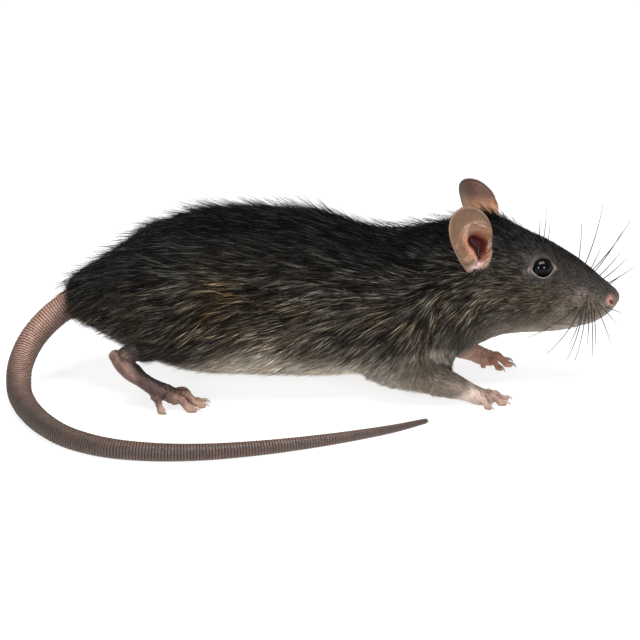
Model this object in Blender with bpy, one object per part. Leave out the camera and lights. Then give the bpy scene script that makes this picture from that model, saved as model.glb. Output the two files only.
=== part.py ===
"""A roof rat, life size, as a still museum model that stands on all feet with its tail laid round it.

The rat looks along +X, its left side is +Y and +Z is up. Sizes below are in millimetres; each mesh is
scaled to metres as it is made. At the end everything is shifted so that the origin lies on the floor
under the middle of the whole model.
"""

import math
from typing import NamedTuple

import bmesh
import bpy
import numpy as np

MM = 0.001
GAP = 0.3
"""Clear space between two pieces that touch in life."""

RIGHT, LEFT = -1, 1
SIDE_NAMES = {RIGHT: "right", LEFT: "left"}

DARK_FUR = (0.055, 0.050, 0.045)
GREY_FUR = (0.16, 0.14, 0.115)
BARE_SKIN = (0.42, 0.27, 0.22)
EAR_SKIN = (0.36, 0.24, 0.18)
TAIL_SKIN = (0.20, 0.14, 0.12)
NOSE_SKIN = (0.62, 0.34, 0.30)
EYE_BLACK = (0.006, 0.006, 0.008)


class Station(NamedTuple):
    """One cross-section of the trunk and head."""

    x: float
    top: float
    bottom: float
    half_width: float


# Rump, loin, back, shoulders, neck, cheeks, eyes, muzzle and nose, from behind to the front.
BODY = (
    Station(-81.6, 34.8, 21.5, 7.2),
    Station(-78.6, 37.3, 20.9, 10.8),
    Station(-74.0, 40.3, 19.4, 15.4),
    Station(-68.0, 44.4, 16.6, 20.2),
    Station(-60.0, 49.6, 12.4, 24.6),
    Station(-50.0, 55.2, 8.6, 27.8),
    Station(-39.0, 59.4, 6.8, 29.2),
    Station(-25.0, 60.8, 5.9, 29.2),
    Station(-10.0, 60.6, 5.2, 28.0),
    Station(0.0, 59.6, 5.0, 27.0),
    Station(8.0, 57.2, 5.2, 26.0),
    Station(15.0, 55.2, 5.6, 25.0),
    Station(22.0, 54.2, 6.2, 24.2),
    Station(30.0, 54.6, 7.2, 22.8),
    Station(37.0, 55.7, 8.6, 20.8),
    Station(43.0, 56.8, 10.6, 18.6),
    Station(48.5, 57.8, 13.2, 16.6),
    Station(54.0, 58.1, 15.8, 15.0),
    Station(59.0, 57.0, 17.6, 14.0),
    Station(64.0, 54.4, 18.3, 13.4),
    Station(69.0, 51.8, 18.5, 12.5),
    Station(73.5, 49.6, 18.6, 11.3),
    Station(78.0, 47.0, 18.9, 9.8),
    Station(83.5, 43.3, 20.2, 8.5),
    Station(88.0, 39.6, 21.4, 7.6),
    Station(92.0, 35.9, 23.5, 6.1),
    Station(94.8, 33.5, 25.8, 4.4),
    Station(96.4, 32.0, 27.8, 2.7),
    Station(97.2, 30.9, 29.2, 1.0),
)
DOME = ((0.5, 0.86), (0.86, 0.46))
"""Rings that round off a tube's end: how far out, and how wide, as shares of the tube's own radius."""

BELT = 0.43
"""Height of a section's widest point, as a share of its full height."""
UPPER_FULLNESS, LOWER_FULLNESS = 2.05, 2.3
"""Superellipse powers of a section above and below its widest point; 2 is an ellipse."""

NECK_FROM, HEAD_FROM, NOSE_FROM = 30.0, 45.6, 93.4
"""Where the neck, head and nose begin along X."""

# Soft swellings of the head: centre on the left side, spread along X and Z, and height.
CHEEK = ((64.0, 13.5, 28.0), (8.0, 7.0), 1.0)
WHISKER_PAD = ((85.5, 8.0, 28.5), (5.0, 4.6), 1.1)
BROW = ((71.0, 9.5, 46.0), (5.0, 3.4), 0.8)
SWELLINGS = (CHEEK, WHISKER_PAD, BROW)

EYE_CENTRE = (71.0, 8.3, 42.2)
EYE_RADIUS = 3.7
EYE_LOOKS = (0.2, 0.94, 0.27)
LID_RING_RADIUS, LID_THICKNESS = 3.55, 0.6
LID_OUT = 1.25
"""How far the ring of the lids lies out from the eye's centre."""

MOUTH_TIP = (82.4, 22.0)
MOUTH_CORNER = (75.0, 23.8)
JAW_HINGE = (60.0, 25.4)
"""Points of the line between the jaw and the head, as X and Z."""

NOSTRIL_CENTRE = (94.9, 2.6, 29.4)
NOSTRIL_RADII = (1.15, 0.75, 0.62)
NOSTRIL_LEAN, NOSTRIL_TURN = -25.0, 35.0


class Hollow(NamedTuple):
    """A soft dent of an ear: its depth, its middle across and up the ear, and its spread both ways."""

    depth: float
    across: float
    upward: float
    spread_across: float
    spread_upward: float


EAR_ROOTS = {RIGHT: (49.1, 15.4, 43.4), LEFT: (54.6, 14.4, 44.0)}
EAR_UPS = {RIGHT: (-0.17, 0.08, 0.98), LEFT: (-0.27, 0.11, 0.957)}
"""The left ear is turned a little further forward at its root and leans back more."""
EAR_FACES = (0.36, 0.93, -0.04)
EAR_HEIGHT, EAR_WIDTH = 21.5, 14.4
EAR_EDGE = 0.65
"""Thickness of the ear at its rim."""
EAR_ROOT_THICKNESS, EAR_ROOT_REACH = 5.0, 9.0
"""Thickness of the ear at its root, and how far up it thins out."""
EAR_SIDES = 22
EAR_SHARES = (0.15, 0.36, 0.56, 0.75, 0.9, 1.0)
"""Where an ear's rings lie between its middle and its rim."""
EAR_MIDDLE = (0.4, 7.0)
EAR_BOWL = Hollow(1.7, 0.0, 11.5, 4.6, 7.0)
EAR_OPENING = Hollow(3.4, 1.0, 6.0, 2.3, 3.4)
EAR_BACK = Hollow(2.0, 1.0, 6.0, 4.0, 4.5)
"""How the back of the ear swells out behind its opening."""
EAR_CURL = 0.036
"""How strongly the ear's sides curl forward."""
EAR_TRIMMED = (36.0, 66.0)
"""Stretch of the body, along X, that trims the ears' roots."""

# The tail's centre line, from inside the rump round the near side to the tip.
TAIL_HANGING = (
    (-77.0, 0.0, 30.6),
    (-81.2, -0.2, 27.7),
    (-87.4, -1.5, 23.2),
    (-93.4, -5.0, 17.0),
    (-96.7, -11.5, 10.7),
    (-96.6, -20.5, 6.0),
)
TAIL_ON_FLOOR = (
    (-93.3, -32.5),
    (-86.5, -48.0),
    (-77.2, -60.5),
    (-65.6, -68.2),
    (-51.6, -71.5),
    (-36.6, -71.0),
    (-21.5, -67.4),
    (-6.0, -61.7),
    (9.5, -54.3),
    (25.0, -45.0),
    (34.0, -37.6),
)
TAIL_ROOT_RADIUS, TAIL_TIP_RADIUS, TAIL_TAPER = 4.5, 0.42, 0.7
TAIL_LENGTHS = 7
TAIL_PRESSED = 0.08
"""How deep the round underside of the lying tail is trimmed flat."""
TAIL_SIDES = 10
TAIL_STEP = 3.8

HIND_SHIFT = {RIGHT: 0.0, LEFT: 4.0}
FORE_SHIFT = {RIGHT: 0.0, LEFT: 3.2}
"""How far each side's leg stands forward of the place given below."""

FLOOR_DEPTH = 6.0


class Pipe(NamedTuple):
    """A limb's length: points on its centre line, and its half width and half depth at each."""

    points: tuple
    half_widths: tuple
    half_depths: tuple


THIGH_CENTRE, THIGH_RADII = (-48.0, 19.4, 31.6), (21.5, 11.4, 15.5)
THIGH_LEAN, THIGH_TURN = 48.0, 2.0
SHOULDER_CENTRE, SHOULDER_RADII = (27.0, 16.4, 24.0), (18.0, 8.2, 10.5)
SHOULDER_LEAN, SHOULDER_TURN = -62.0, 4.0
SHANK = Pipe(
    ((-44.0, 22.6, 20.2), (-51.0, 24.4, 19.4), (-57.0, 25.6, 18.8), (-61.6, 25.9, 18.0)),
    (5.0, 4.4, 3.6, 3.0),
    (5.8, 5.2, 4.4, 3.4),
)
HIND_SOLE = Pipe(
    (
        (-65.4, 25.6, 18.4),
        (-63.0, 25.8, 16.2),
        (-59.6, 26.0, 13.4),
        (-55.2, 26.0, 9.8),
        (-51.0, 25.4, 7.0),
        (-46.6, 24.3, 5.2),
        (-43.8, 23.7, 4.2),
    ),
    (2.2, 2.9, 3.2, 3.2, 3.8, 4.4, 4.1),
    (2.3, 3.3, 3.9, 3.6, 3.2, 2.8, 2.1),
)
FOREARM = Pipe(
    (
        (17.5, 18.4, 12.4),
        (23.0, 19.6, 12.2),
        (30.0, 20.4, 10.8),
        (37.0, 20.9, 8.4),
        (43.5, 20.6, 6.0),
        (47.4, 20.3, 4.3),
    ),
    (5.6, 6.6, 6.2, 5.0, 3.9, 3.2),
    (7.0, 7.8, 7.0, 5.6, 4.4, 3.4),
)
FORE_PALM = Pipe(
    ((47.9, 20.3, 4.1), (50.4, 20.1, 2.9), (53.6, 19.6, 2.1)),
    (3.2, 3.8, 3.9),
    (3.2, 2.9, 2.4),
)


class Digit(NamedTuple):
    """A toe or finger: its knuckle, the way it points, in degrees outward, and its length and radius."""

    knuckle: tuple
    outward: float
    length: float
    radius: float


HIND_DIGITS = (
    Digit((-48.6, 20.8, 4.2), -30.0, 4.6, 0.95),
    Digit((-45.0, 21.3, 4.5), -15.0, 8.2, 1.05),
    Digit((-44.2, 23.8, 4.7), -4.0, 6.8, 1.1),
    Digit((-45.4, 26.3, 4.3), 10.0, 5.3, 1.05),
    Digit((-51.4, 27.4, 4.8), 50.0, 3.8, 0.95),
)
FORE_DIGITS = (
    Digit((53.2, 17.3, 2.3), -50.0, 5.4, 0.88),
    Digit((54.4, 18.9, 2.6), -20.0, 6.0, 0.92),
    Digit((54.0, 20.9, 2.5), 6.0, 5.2, 0.92),
    Digit((51.4, 22.6, 2.3), 45.0, 4.0, 0.88),
)
THUMB = Digit((50.0, 17.4, 2.0), -52.0, 2.2, 0.75)
DIGIT_MARKS, DIGIT_GIRTHS = (-0.12, 0.32, 0.66, 0.86, 1.0), (1.25, 1.0, 0.95, 1.15, 0.8)
"""Places along a digit as shares of its length, and its radius there as shares of its own radius."""
DIGIT_PAD = 0.72
"""Height of a digit's last joint, as a share of its radius."""
CLAW_LENGTH, CLAW_RADIUS = 2.3, 0.5
CLAW_BEND = ((-1.0, 0.15), (0.3, 0.25), (1.4, -0.12), (2.3, -0.95))
"""A claw's centre line from inside the toe to its point, forward and up, at the length above."""
CLAW_GIRTHS = (0.9, 1.1, 0.8, 0.2)
CLAW_RISE, CLAW_CLEAR = 0.45, 0.18
"""Height of a claw over the toe's tip, and the least height of its point over the floor."""

WHISKER_ROOT_RADIUS, WHISKER_TIP_RADIUS = 0.27, 0.12
WHISKER_SUNK = 1.6
WHISKER_ROWS, WHISKER_COLUMNS = 4, 3
WHISKER_X, WHISKER_Z = (82.6, 88.4), (32.0, 26.4)
"""Roots from the rear column to the front one, and from the top row to the bottom one."""
WHISKER_LENGTHS, WHISKER_LOSS = (25.0, 15.0), 2.0
"""Lengths from the rear column to the front one, and how much shorter the bottom row is."""
WHISKER_PITCH, WHISKER_YAW = (62.0, -56.0), (80.0, 44.0)
"""Degrees upward from the top row to the bottom one, and outward from the rear column to the front one."""
WHISKER_SWEEP, WHISKER_SWEEP_TOP, WHISKER_SAG = 1.0, 3.0, -1.5
"""How far a whisker's tip bends forward, how much further in the top row, and how far down."""
PAD_CENTRE, PAD_RADII = (85.6, 29.0), (5.6, 5.0)
"""Outline of each whisker pad seen from the side, as X and Z."""
PAD_SIDES = 16
PAD_DEPTH = 3.4
"""Distance from the middle plane at which each whisker pad is parted from the head."""


def clear_scene():
    """Removes whatever the file held before."""
    for old in list(bpy.data.objects):
        bpy.data.objects.remove(old)


def material(name, colour, roughness):
    """One Principled finish."""
    made = bpy.data.materials.new(name)
    made.use_nodes = True
    shader = made.node_tree.nodes["Principled BSDF"]
    shader.inputs["Base Color"].default_value = (*colour, 1.0)
    shader.inputs["Roughness"].default_value = roughness
    shader.inputs["Metallic"].default_value = 0.0
    return made


def add_object(name, points, faces, finish=None):
    """A mesh object from points in millimetres, with its faces turned outwards."""
    mesh = bpy.data.meshes.new(name)
    mesh.from_pydata((np.asarray(points, float) * MM).tolist(), [], faces)
    shape = bmesh.new()
    shape.from_mesh(mesh)
    bmesh.ops.recalc_face_normals(shape, faces=shape.faces)
    shape.to_mesh(mesh)
    shape.free()
    if finish:
        mesh.materials.append(finish)
    made = bpy.data.objects.new(name, mesh)
    bpy.context.scene.collection.objects.link(made)
    return made


def skin_rings(name, rings, finish=None):
    """A closed solid through rings of equal length, with a flat face over the first and the last."""
    rings = np.asarray(rings, float)
    count, sides = rings.shape[:2]
    faces = []
    for i in range(count - 1):
        for j in range(sides):
            near, far = i * sides, (i + 1) * sides
            after = (j + 1) % sides
            faces.append((near + j, near + after, far + after, far + j))
    faces.append(tuple(range(sides)))
    faces.append(tuple(range((count - 1) * sides, count * sides)))
    return add_object(name, rings.reshape(-1, 3), faces, finish)


def baked(target):
    """Replaces the object's mesh by its evaluated one and drops its modifiers."""
    bpy.context.view_layer.update()
    graph = bpy.context.evaluated_depsgraph_get()
    mesh = bpy.data.meshes.new_from_object(target.evaluated_get(graph))
    target.modifiers.clear()
    target.data = mesh
    return target


def combine(target, others, operation):
    """Joins or cuts the target with the others in one Boolean, then removes them."""
    group = bpy.data.collections.new("operands")
    bpy.context.scene.collection.children.link(group)
    for other in others:
        group.objects.link(other)
        bpy.context.scene.collection.objects.unlink(other)
    step = target.modifiers.new("combine", "BOOLEAN")
    step.operation = operation
    step.solver = "EXACT"
    step.operand_type = "COLLECTION"
    step.collection = group
    baked(target)
    for other in others:
        bpy.data.objects.remove(other)
    bpy.data.collections.remove(group)
    return keep_largest(target)


def fuse(target, others):
    """Joins closed pieces into one closed body."""
    return combine(target, others, "UNION")


def cut(target, cutters):
    """Takes the cutters away from the target."""
    return combine(target, cutters, "DIFFERENCE")


def keep_largest(target):
    """Drops every loose scrap but the largest closed surface."""
    shape = bmesh.new()
    shape.from_mesh(target.data)
    unseen = set(shape.faces)
    groups = []
    while unseen:
        grown = [unseen.pop()]
        for face in grown:
            for edge in (e for e in face.edges if len(e.link_faces) == 2):
                for other in edge.link_faces:
                    if other in unseen:
                        unseen.remove(other)
                        grown.append(other)
        groups.append(grown)
    groups.sort(key=len)
    for scrap in groups[:-1]:
        bmesh.ops.delete(shape, geom=scrap, context="FACES")
    shape.to_mesh(target.data)
    shape.free()
    return target


def smooth_through(known_x, known_y, x):
    """A smooth curve through the known points: cubic pieces with the mean slope of their neighbours."""
    known_x, known_y = np.asarray(known_x, float), np.asarray(known_y, float)
    slopes = np.gradient(known_y, known_x, axis=0)
    x = np.clip(np.asarray(x, float), known_x[0], known_x[-1])
    i = np.clip(np.searchsorted(known_x, x, side="right") - 1, 0, len(known_x) - 2)
    width = known_x[i + 1] - known_x[i]
    t = (x - known_x[i]) / width
    if known_y.ndim > 1:
        t, width = t[:, None], width[:, None]
    rise, keep = t * t * (3 - 2 * t), t * (1 - t) ** 2
    leave = t * t * (t - 1)
    straight = (1 - rise) * known_y[i] + rise * known_y[i + 1]
    return straight + width * (keep * slopes[i] + leave * slopes[i + 1])


def body_points(x, angle, grow=0.0):
    """Points of trunk and head at X and at an angle from the top, both arrays, pushed out by grow."""
    known = np.array(BODY)
    top, bottom, half = (smooth_through(known[:, 0], known[:, k], x) for k in (1, 2, 3))
    belt = bottom + BELT * (top - bottom)
    across, upward = np.sin(angle), np.cos(angle)
    power = 2 / np.where(upward > 0, UPPER_FULLNESS, LOWER_FULLNESS)
    reach = np.where(upward > 0, top - belt, belt - bottom) + grow
    y = (half + grow) * np.sign(across) * np.abs(across) ** power
    z = belt + reach * np.sign(upward) * np.abs(upward) ** power
    for (cx, cy, cz), (spread_x, spread_z), height in SWELLINGS:
        near = np.exp(-(((x - cx) / spread_x) ** 2) - ((z - cz) / spread_z) ** 2)
        y = y + np.sign(y) * height * near * np.clip(np.abs(y) / cy, 0, 1)
    return np.stack([np.broadcast_to(x, y.shape), y, z], axis=-1)


def body_length(name, start, end, step, sides, finish=None, grow=0.0):
    """The closed length of trunk or head between two places along X."""
    stations = np.array([s.x for s in BODY])
    inside = stations[(stations > start + step / 3) & (stations < end - step / 3)]
    marks = np.unique(np.concatenate([[start], inside, [end]]))
    places = [start]
    for a, b in zip(marks[:-1], marks[1:]):
        pieces = max(1, round((b - a) / step))
        places.extend(np.linspace(a, b, pieces + 1)[1:])
    angles = np.arange(sides) * 2 * math.pi / sides
    rings = [body_points(np.full(sides, x), angles, grow) for x in places]
    return skin_rings(name, rings, finish)


def body_half_width_at(x, z):
    """Half width of the body at a place along X and a height."""
    known = np.array(BODY)
    top, bottom, half = (float(smooth_through(known[:, 0], known[:, k], [x])[0]) for k in (1, 2, 3))
    belt = bottom + BELT * (top - bottom)
    share = (z - belt) / (top - belt) if z > belt else (belt - z) / (belt - bottom)
    power = UPPER_FULLNESS if z > belt else LOWER_FULLNESS
    return half * (1 - min(1.0, share) ** power) ** (1 / power)


def unit(vector):
    """The vector at length one."""
    vector = np.asarray(vector, float)
    return vector / np.linalg.norm(vector)


def tube_rings(points, half_widths, half_depths, sides, reference=(0.0, 0.0, 1.0), ways=None):
    """Rings square to a path: half_widths lie across the reference direction, half_depths along it."""
    points = np.asarray(points, float)
    ways = np.gradient(points, axis=0) if ways is None else ways
    angles = np.arange(sides) * 2 * math.pi / sides
    rings = []
    for point, way, wide, deep in zip(points, ways, half_widths, half_depths):
        way = unit(way)
        across = unit(np.cross(way, reference))
        along = np.cross(across, way)
        sideways, upright = np.outer(wide * np.cos(angles), across), np.outer(deep * np.sin(angles), along)
        rings.append(point + sideways + upright)
    return rings


def rounded(points, half_widths, half_depths, start=True, end=True):
    """Adds two small rings past each end that is asked for, so that the tube closes in a dome."""
    points = [np.asarray(p, float) for p in points]
    wide, deep = list(half_widths), list(half_depths)
    if start:
        way, reach = unit(points[0] - points[1]), min(wide[0], deep[0])
        first = points[0], wide[0], deep[0]
        for out, share in DOME:
            points.insert(0, first[0] + way * reach * out)
            wide.insert(0, first[1] * share)
            deep.insert(0, first[2] * share)
    if end:
        way, reach = unit(points[-1] - points[-2]), min(wide[-1], deep[-1])
        last = points[-1], wide[-1], deep[-1]
        for out, share in DOME:
            points.append(last[0] + way * reach * out)
            wide.append(last[1] * share)
            deep.append(last[2] * share)
    return points, wide, deep


def placed(point, side, shift=0.0):
    """A point given for the left side, set on one side and moved forward."""
    return np.array([point[0] + shift, point[1] * side, point[2]])


def limb(name, pipe, side, shift, sides, finish=None, grow=0.0, start=True, end=True):
    """A limb's length as a closed tube; start and end say which ends are domed."""
    points = [placed(p, side, shift) for p in pipe.points]
    wide = [w + grow for w in pipe.half_widths]
    deep = [d + grow for d in pipe.half_depths]
    points, wide, deep = rounded(points, wide, deep, start, end)
    return skin_rings(name, tube_rings(points, wide, deep, sides), finish)


def ellipsoid(name, centre, radii, finish=None, lean=0.0, turn=0.0, rings=10, sides=20, grow=0.0):
    """An ellipsoid leaned about Y and turned about Z, in degrees, its poles along its own X."""
    polar = np.linspace(0.06, math.pi - 0.06, rings)
    around = np.arange(sides) * 2 * math.pi / sides
    long, wide, deep = (r + grow for r in radii)
    lean, turn = math.radians(lean), math.radians(turn)
    rows = []
    for p in polar:
        x = np.full(sides, long * math.cos(p))
        y = wide * math.sin(p) * np.cos(around)
        z = deep * math.sin(p) * np.sin(around)
        x, z = x * math.cos(lean) - z * math.sin(lean), x * math.sin(lean) + z * math.cos(lean)
        x, y = x * math.cos(turn) - y * math.sin(turn), x * math.sin(turn) + y * math.cos(turn)
        rows.append(np.stack([x, y, z], axis=1) + centre)
    return skin_rings(name, rows, finish)


def block(name, low, high):
    """A plain box, used only to cut."""
    corners = ((low[1], low[2]), (high[1], low[2]), (high[1], high[2]), (low[1], high[2]))
    return skin_rings(name, [[(x, y, z) for y, z in corners] for x in (low[0], high[0])])


def floor_block(around):
    """A slab under the floor, wide enough to trim what is given."""
    corners = np.array([v.co for v in around.data.vertices]) / MM
    low, high = corners.min(0) - 5, corners.max(0) + 5
    return block("floor_cut", (low[0], low[1], -FLOOR_DEPTH), (high[0], high[1], 0.0))


def thigh(name, side, finish=None, grow=0.0):
    """The haunch, a leaning oval laid into the flank."""
    centre = placed(THIGH_CENTRE, side, HIND_SHIFT[side])
    turn = THIGH_TURN * side
    return ellipsoid(name, centre, THIGH_RADII, finish, -THIGH_LEAN, turn, 11, 16, grow)


def upper_arm(name, side, finish=None, grow=0.0):
    """The shoulder and upper arm, a leaning oval laid into the chest."""
    centre = placed(SHOULDER_CENTRE, side, FORE_SHIFT[side])
    turn = SHOULDER_TURN * side
    return ellipsoid(name, centre, SHOULDER_RADII, finish, -SHOULDER_LEAN, turn, 10, 16, grow)


def digit_pieces(digit, side, shift, clawed=True):
    """One toe, and its claw if it has one, as closed pieces."""
    knuckle = placed(digit.knuckle, side, shift)
    outward = math.radians(digit.outward) * side
    way = np.array([math.cos(outward), math.sin(outward), 0.0])
    up = np.array([0.0, 0.0, 1.0])
    pad = digit.radius * DIGIT_PAD
    heights = (knuckle[2], knuckle[2] + 0.35, pad + 0.75, pad, pad - 0.12)
    radii = np.array(DIGIT_GIRTHS) * digit.radius
    base = np.array([knuckle[0], knuckle[1], 0.0])
    points = [base + way * digit.length * s + up * h for s, h in zip(DIGIT_MARKS, heights)]
    toe_points, wide, deep = rounded(points, radii, radii, start=False)
    toe = skin_rings("toe", tube_rings(toe_points, wide, deep, 6))
    if not clawed:
        return [toe]
    tip = points[-1] + up * CLAW_RISE
    stretch = CLAW_LENGTH / CLAW_BEND[-1][0]
    claw_points = [tip + way * ahead * stretch + up * rise for ahead, rise in CLAW_BEND]
    claw_points[-1][2] = max(claw_points[-1][2], CLAW_CLEAR)
    claw_radii = np.array(CLAW_GIRTHS) * CLAW_RADIUS
    claw = skin_rings("claw", tube_rings(claw_points, claw_radii, claw_radii, 4))
    return [toe, claw]


def foot(name, pipe, digits, thumb, side, shift, finish):
    """A paw: the palm or sole with its digits and claws fused on, trimmed flat where it stands."""
    palm = limb(name, pipe, side, shift, 12, finish, start=pipe is HIND_SOLE)
    pieces = []
    for digit in digits:
        pieces.extend(digit_pieces(digit, side, shift))
    if thumb:
        pieces.extend(digit_pieces(thumb, side, shift, clawed=False))
    fuse(palm, pieces)
    return cut(palm, [floor_block(palm)])


def tail_line():
    """Points and radii of the tail's centre line at even steps; on the floor it lies at its own radius."""
    hanging = np.array(TAIL_HANGING)
    lying = np.array([(x, y, 0.0) for x, y in TAIL_ON_FLOOR])
    knots = np.concatenate([hanging, lying])
    run = np.concatenate([[0.0], np.cumsum(np.linalg.norm(np.diff(knots, axis=0), axis=1))])
    length = run[-1]
    floor_from = len(hanging)
    knots[floor_from:, 2] = tail_radius(run[floor_from:], length)
    steps = round(length / TAIL_STEP / TAIL_LENGTHS) * TAIL_LENGTHS
    s = np.linspace(0.0, length, steps + 1)
    points = smooth_through(run, knots, s)
    radii = tail_radius(s, length)
    lying_from = run[floor_from]
    points[s >= lying_from, 2] = radii[s >= lying_from] - TAIL_PRESSED
    return points, radii


def tail_radius(s, length):
    """Radius at a distance from the root: full at the root and thinning faster towards the tip."""
    left = np.clip(1 - np.asarray(s) / length, 0, 1)
    return TAIL_TIP_RADIUS + (TAIL_ROOT_RADIUS - TAIL_TIP_RADIUS) * left**TAIL_TAPER


def tail_piece(name, line, index, finish=None, grow=0.0):
    """One length of the tail; its flat ends lie square to the line, half a gap back from the joints."""
    points, radii = line
    ways = np.gradient(points, axis=0)
    ways /= np.linalg.norm(ways, axis=1)[:, None]
    per = (len(points) - 1) // TAIL_LENGTHS
    here = slice(index * per, (index + 1) * per + 1)
    first, last = index == 0, index == TAIL_LENGTHS - 1
    ends = np.array(points[here])
    if not first:
        ends[0] += ways[here][0] * GAP / 2
    if not last:
        ends[-1] -= ways[here][-1] * GAP / 2
    wide = list(radii[here] / math.cos(math.pi / TAIL_SIDES) + grow)
    ends, wide, _ = rounded(ends, wide, wide, start=first, end=last)
    square = list(ways[here])
    while len(square) < len(ends):
        square = [square[0], *square] if first else [*square, square[-1]]
    return skin_rings(name, tube_rings(ends, wide, wide, TAIL_SIDES, ways=square), finish)


def ear_outline(angle):
    """The ear's rim seen square on, from its tip at 0: an egg, wider above than at its root."""
    across = EAR_WIDTH / 2 * np.sin(angle) * (1 + 0.16 * np.cos(angle))
    upward = EAR_HEIGHT / 2 * (1 + np.cos(angle))
    return across, upward


def dent(hollow, across, upward):
    """Depth of one soft dent at places of the ear: a bell curve both ways."""
    side = (across - hollow.across) / hollow.spread_across
    height = (upward - hollow.upward) / hollow.spread_upward
    return hollow.depth * np.exp(-(side**2) - height**2)


def ear_depth(across, upward):
    """How far the ear's inner face lies behind its rim plane: a scoop that deepens to its opening."""
    return dent(EAR_BOWL, across, upward) + dent(EAR_OPENING, across, upward) - EAR_CURL * across**2


def ear(name, side, finish):
    """An ear: an inner cupped face and an outer domed face that meet at a rounded rim."""
    up = unit(EAR_UPS[side])
    faces_way = unit(np.array(EAR_FACES) - np.dot(EAR_FACES, up) * up)
    forward = np.cross(faces_way, up)
    rim_across, rim_up = ear_outline(np.arange(EAR_SIDES) * 2 * math.pi / EAR_SIDES)
    middle_across, middle_up = EAR_MIDDLE
    rings = []
    for share in EAR_SHARES:
        across = middle_across + share * (rim_across - middle_across)
        upward = middle_up + share * (rim_up - middle_up)
        rings.append((across, upward, -ear_depth(across, upward)))
    for share in reversed(EAR_SHARES):
        across = middle_across + share * (rim_across - middle_across)
        upward = middle_up + share * (rim_up - middle_up)
        low = np.clip(1 - upward / EAR_ROOT_REACH, 0, 1)
        root_part = (EAR_ROOT_THICKNESS - EAR_EDGE) * low**1.3 * (1 - 0.6 * share)
        thick = EAR_EDGE + 0.5 * (1 - share) + root_part
        swell = dent(EAR_BACK, across, upward) * (1 - share)
        rings.append((across, upward, -ear_depth(across, upward) - thick - swell))
    root = np.array(EAR_ROOTS[side])
    rows = []
    for across, upward, out in rings:
        row = root + np.outer(across, forward) + np.outer(upward, up) + np.outer(out, faces_way)
        rows.append(row * (1, side, 1))
    return skin_rings(name, rows, finish)


def lid_ring(side):
    """The swollen edge of both lids round one eye."""
    look = unit(EYE_LOOKS) * (1, side, 1)
    centre = np.array(EYE_CENTRE) * (1, side, 1) + look * LID_OUT
    first = unit(np.cross(look, (0.0, 0.0, 1.0)))
    second = np.cross(look, first)
    sides, parts = 5, 16
    points, faces = [], []
    for i in range(parts):
        a = i * 2 * math.pi / parts
        out = first * math.cos(a) + second * math.sin(a)
        for j in range(sides):
            b = j * 2 * math.pi / sides
            ring = LID_RING_RADIUS + LID_THICKNESS * math.cos(b)
            points.append(centre + out * ring + look * LID_THICKNESS * math.sin(b))
            after = (j + 1) % sides
            ahead = (i + 1) % parts * sides
            faces.append((i * sides + j, i * sides + after, ahead + after, ahead + j))
    return add_object("lids", points, faces)


def eyeball(name, side, finish=None, grow=0.0, rings=9, sides=14):
    """One eye as a ball."""
    centre = np.array(EYE_CENTRE) * (1, side, 1)
    return ellipsoid(name, centre, (EYE_RADIUS,) * 3, finish, rings=rings, sides=sides, grow=grow)


def jaw_wedge(name, grow=0.0):
    """The space under the line of the mouth, as a wedge across the head."""
    half, under = 20.0, 10.0
    line = [
        (JAW_HINGE[0] - grow, JAW_HINGE[1] + grow),
        (MOUTH_CORNER[0], MOUTH_CORNER[1] + grow),
        (MOUTH_TIP[0] + grow, MOUTH_TIP[1] + grow),
        (MOUTH_TIP[0] + grow, under),
        (JAW_HINGE[0] - grow, under),
    ]
    rings = [[(x, y, z) for x, z in line] for y in (-half, half)]
    return skin_rings(name, rings)


def pad_space(side, grow=0.0):
    """The space of one whisker pad: an oval column that runs out sideways."""
    around = np.arange(PAD_SIDES) * 2 * math.pi / PAD_SIDES
    x = PAD_CENTRE[0] + (PAD_RADII[0] + grow) * np.cos(around)
    z = PAD_CENTRE[1] + (PAD_RADII[1] + grow) * np.sin(around)
    depths = ((PAD_DEPTH - grow) * side, 20.0 * side)
    return skin_rings("pad_space", [np.stack([x, np.full_like(x, y), z], axis=1) for y in depths])


def whisker(root, way, length, bend):
    """One whisker: a thin cone that bends by the given vector to its tip, its root sunk in the pad."""
    way = unit(way)
    shares = (0.0, 0.35, 0.7, 1.0)
    sunk = root - way * WHISKER_SUNK
    points = [sunk + way * (length + WHISKER_SUNK) * s + np.asarray(bend) * s * s for s in shares]
    radii = np.linspace(WHISKER_ROOT_RADIUS, WHISKER_TIP_RADIUS, len(shares))
    return skin_rings("whisker", tube_rings(points, radii, radii, 3, reference=(0.3, 0.1, 1.0)))


def between(ends, share):
    """The value at a share of the way from the first end to the second."""
    return ends[0] + (ends[1] - ends[0]) * share


def whisker_set(side):
    """The whiskers of one side: rows from top to bottom and columns from back to front, fanned out."""
    made = []
    for row in range(WHISKER_ROWS):
        for column in range(WHISKER_COLUMNS):
            down, ahead = row / (WHISKER_ROWS - 1), column / (WHISKER_COLUMNS - 1)
            x, z = between(WHISKER_X, ahead), between(WHISKER_Z, down)
            y = body_half_width_at(x, z) * side
            length = between(WHISKER_LENGTHS, ahead) - WHISKER_LOSS * down
            pitch = math.radians(between(WHISKER_PITCH, down))
            yaw = math.radians(between(WHISKER_YAW, ahead))
            level = math.cos(pitch)
            way = (math.cos(yaw) * level, side * math.sin(yaw) * level, math.sin(pitch))
            bend = (WHISKER_SWEEP + WHISKER_SWEEP_TOP * (1 - down), 0.0, WHISKER_SAG)
            made.append(whisker(np.array([x, y, z]), way, length, bend))
    return made


def nostril(side):
    """The space of one nostril, a leaning oval turned outwards."""
    centre = np.array(NOSTRIL_CENTRE) * (1, side, 1)
    turn = NOSTRIL_TURN * side
    return ellipsoid("nostril", centre, NOSTRIL_RADII, lean=NOSTRIL_LEAN, turn=turn, rings=7, sides=10)


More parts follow.
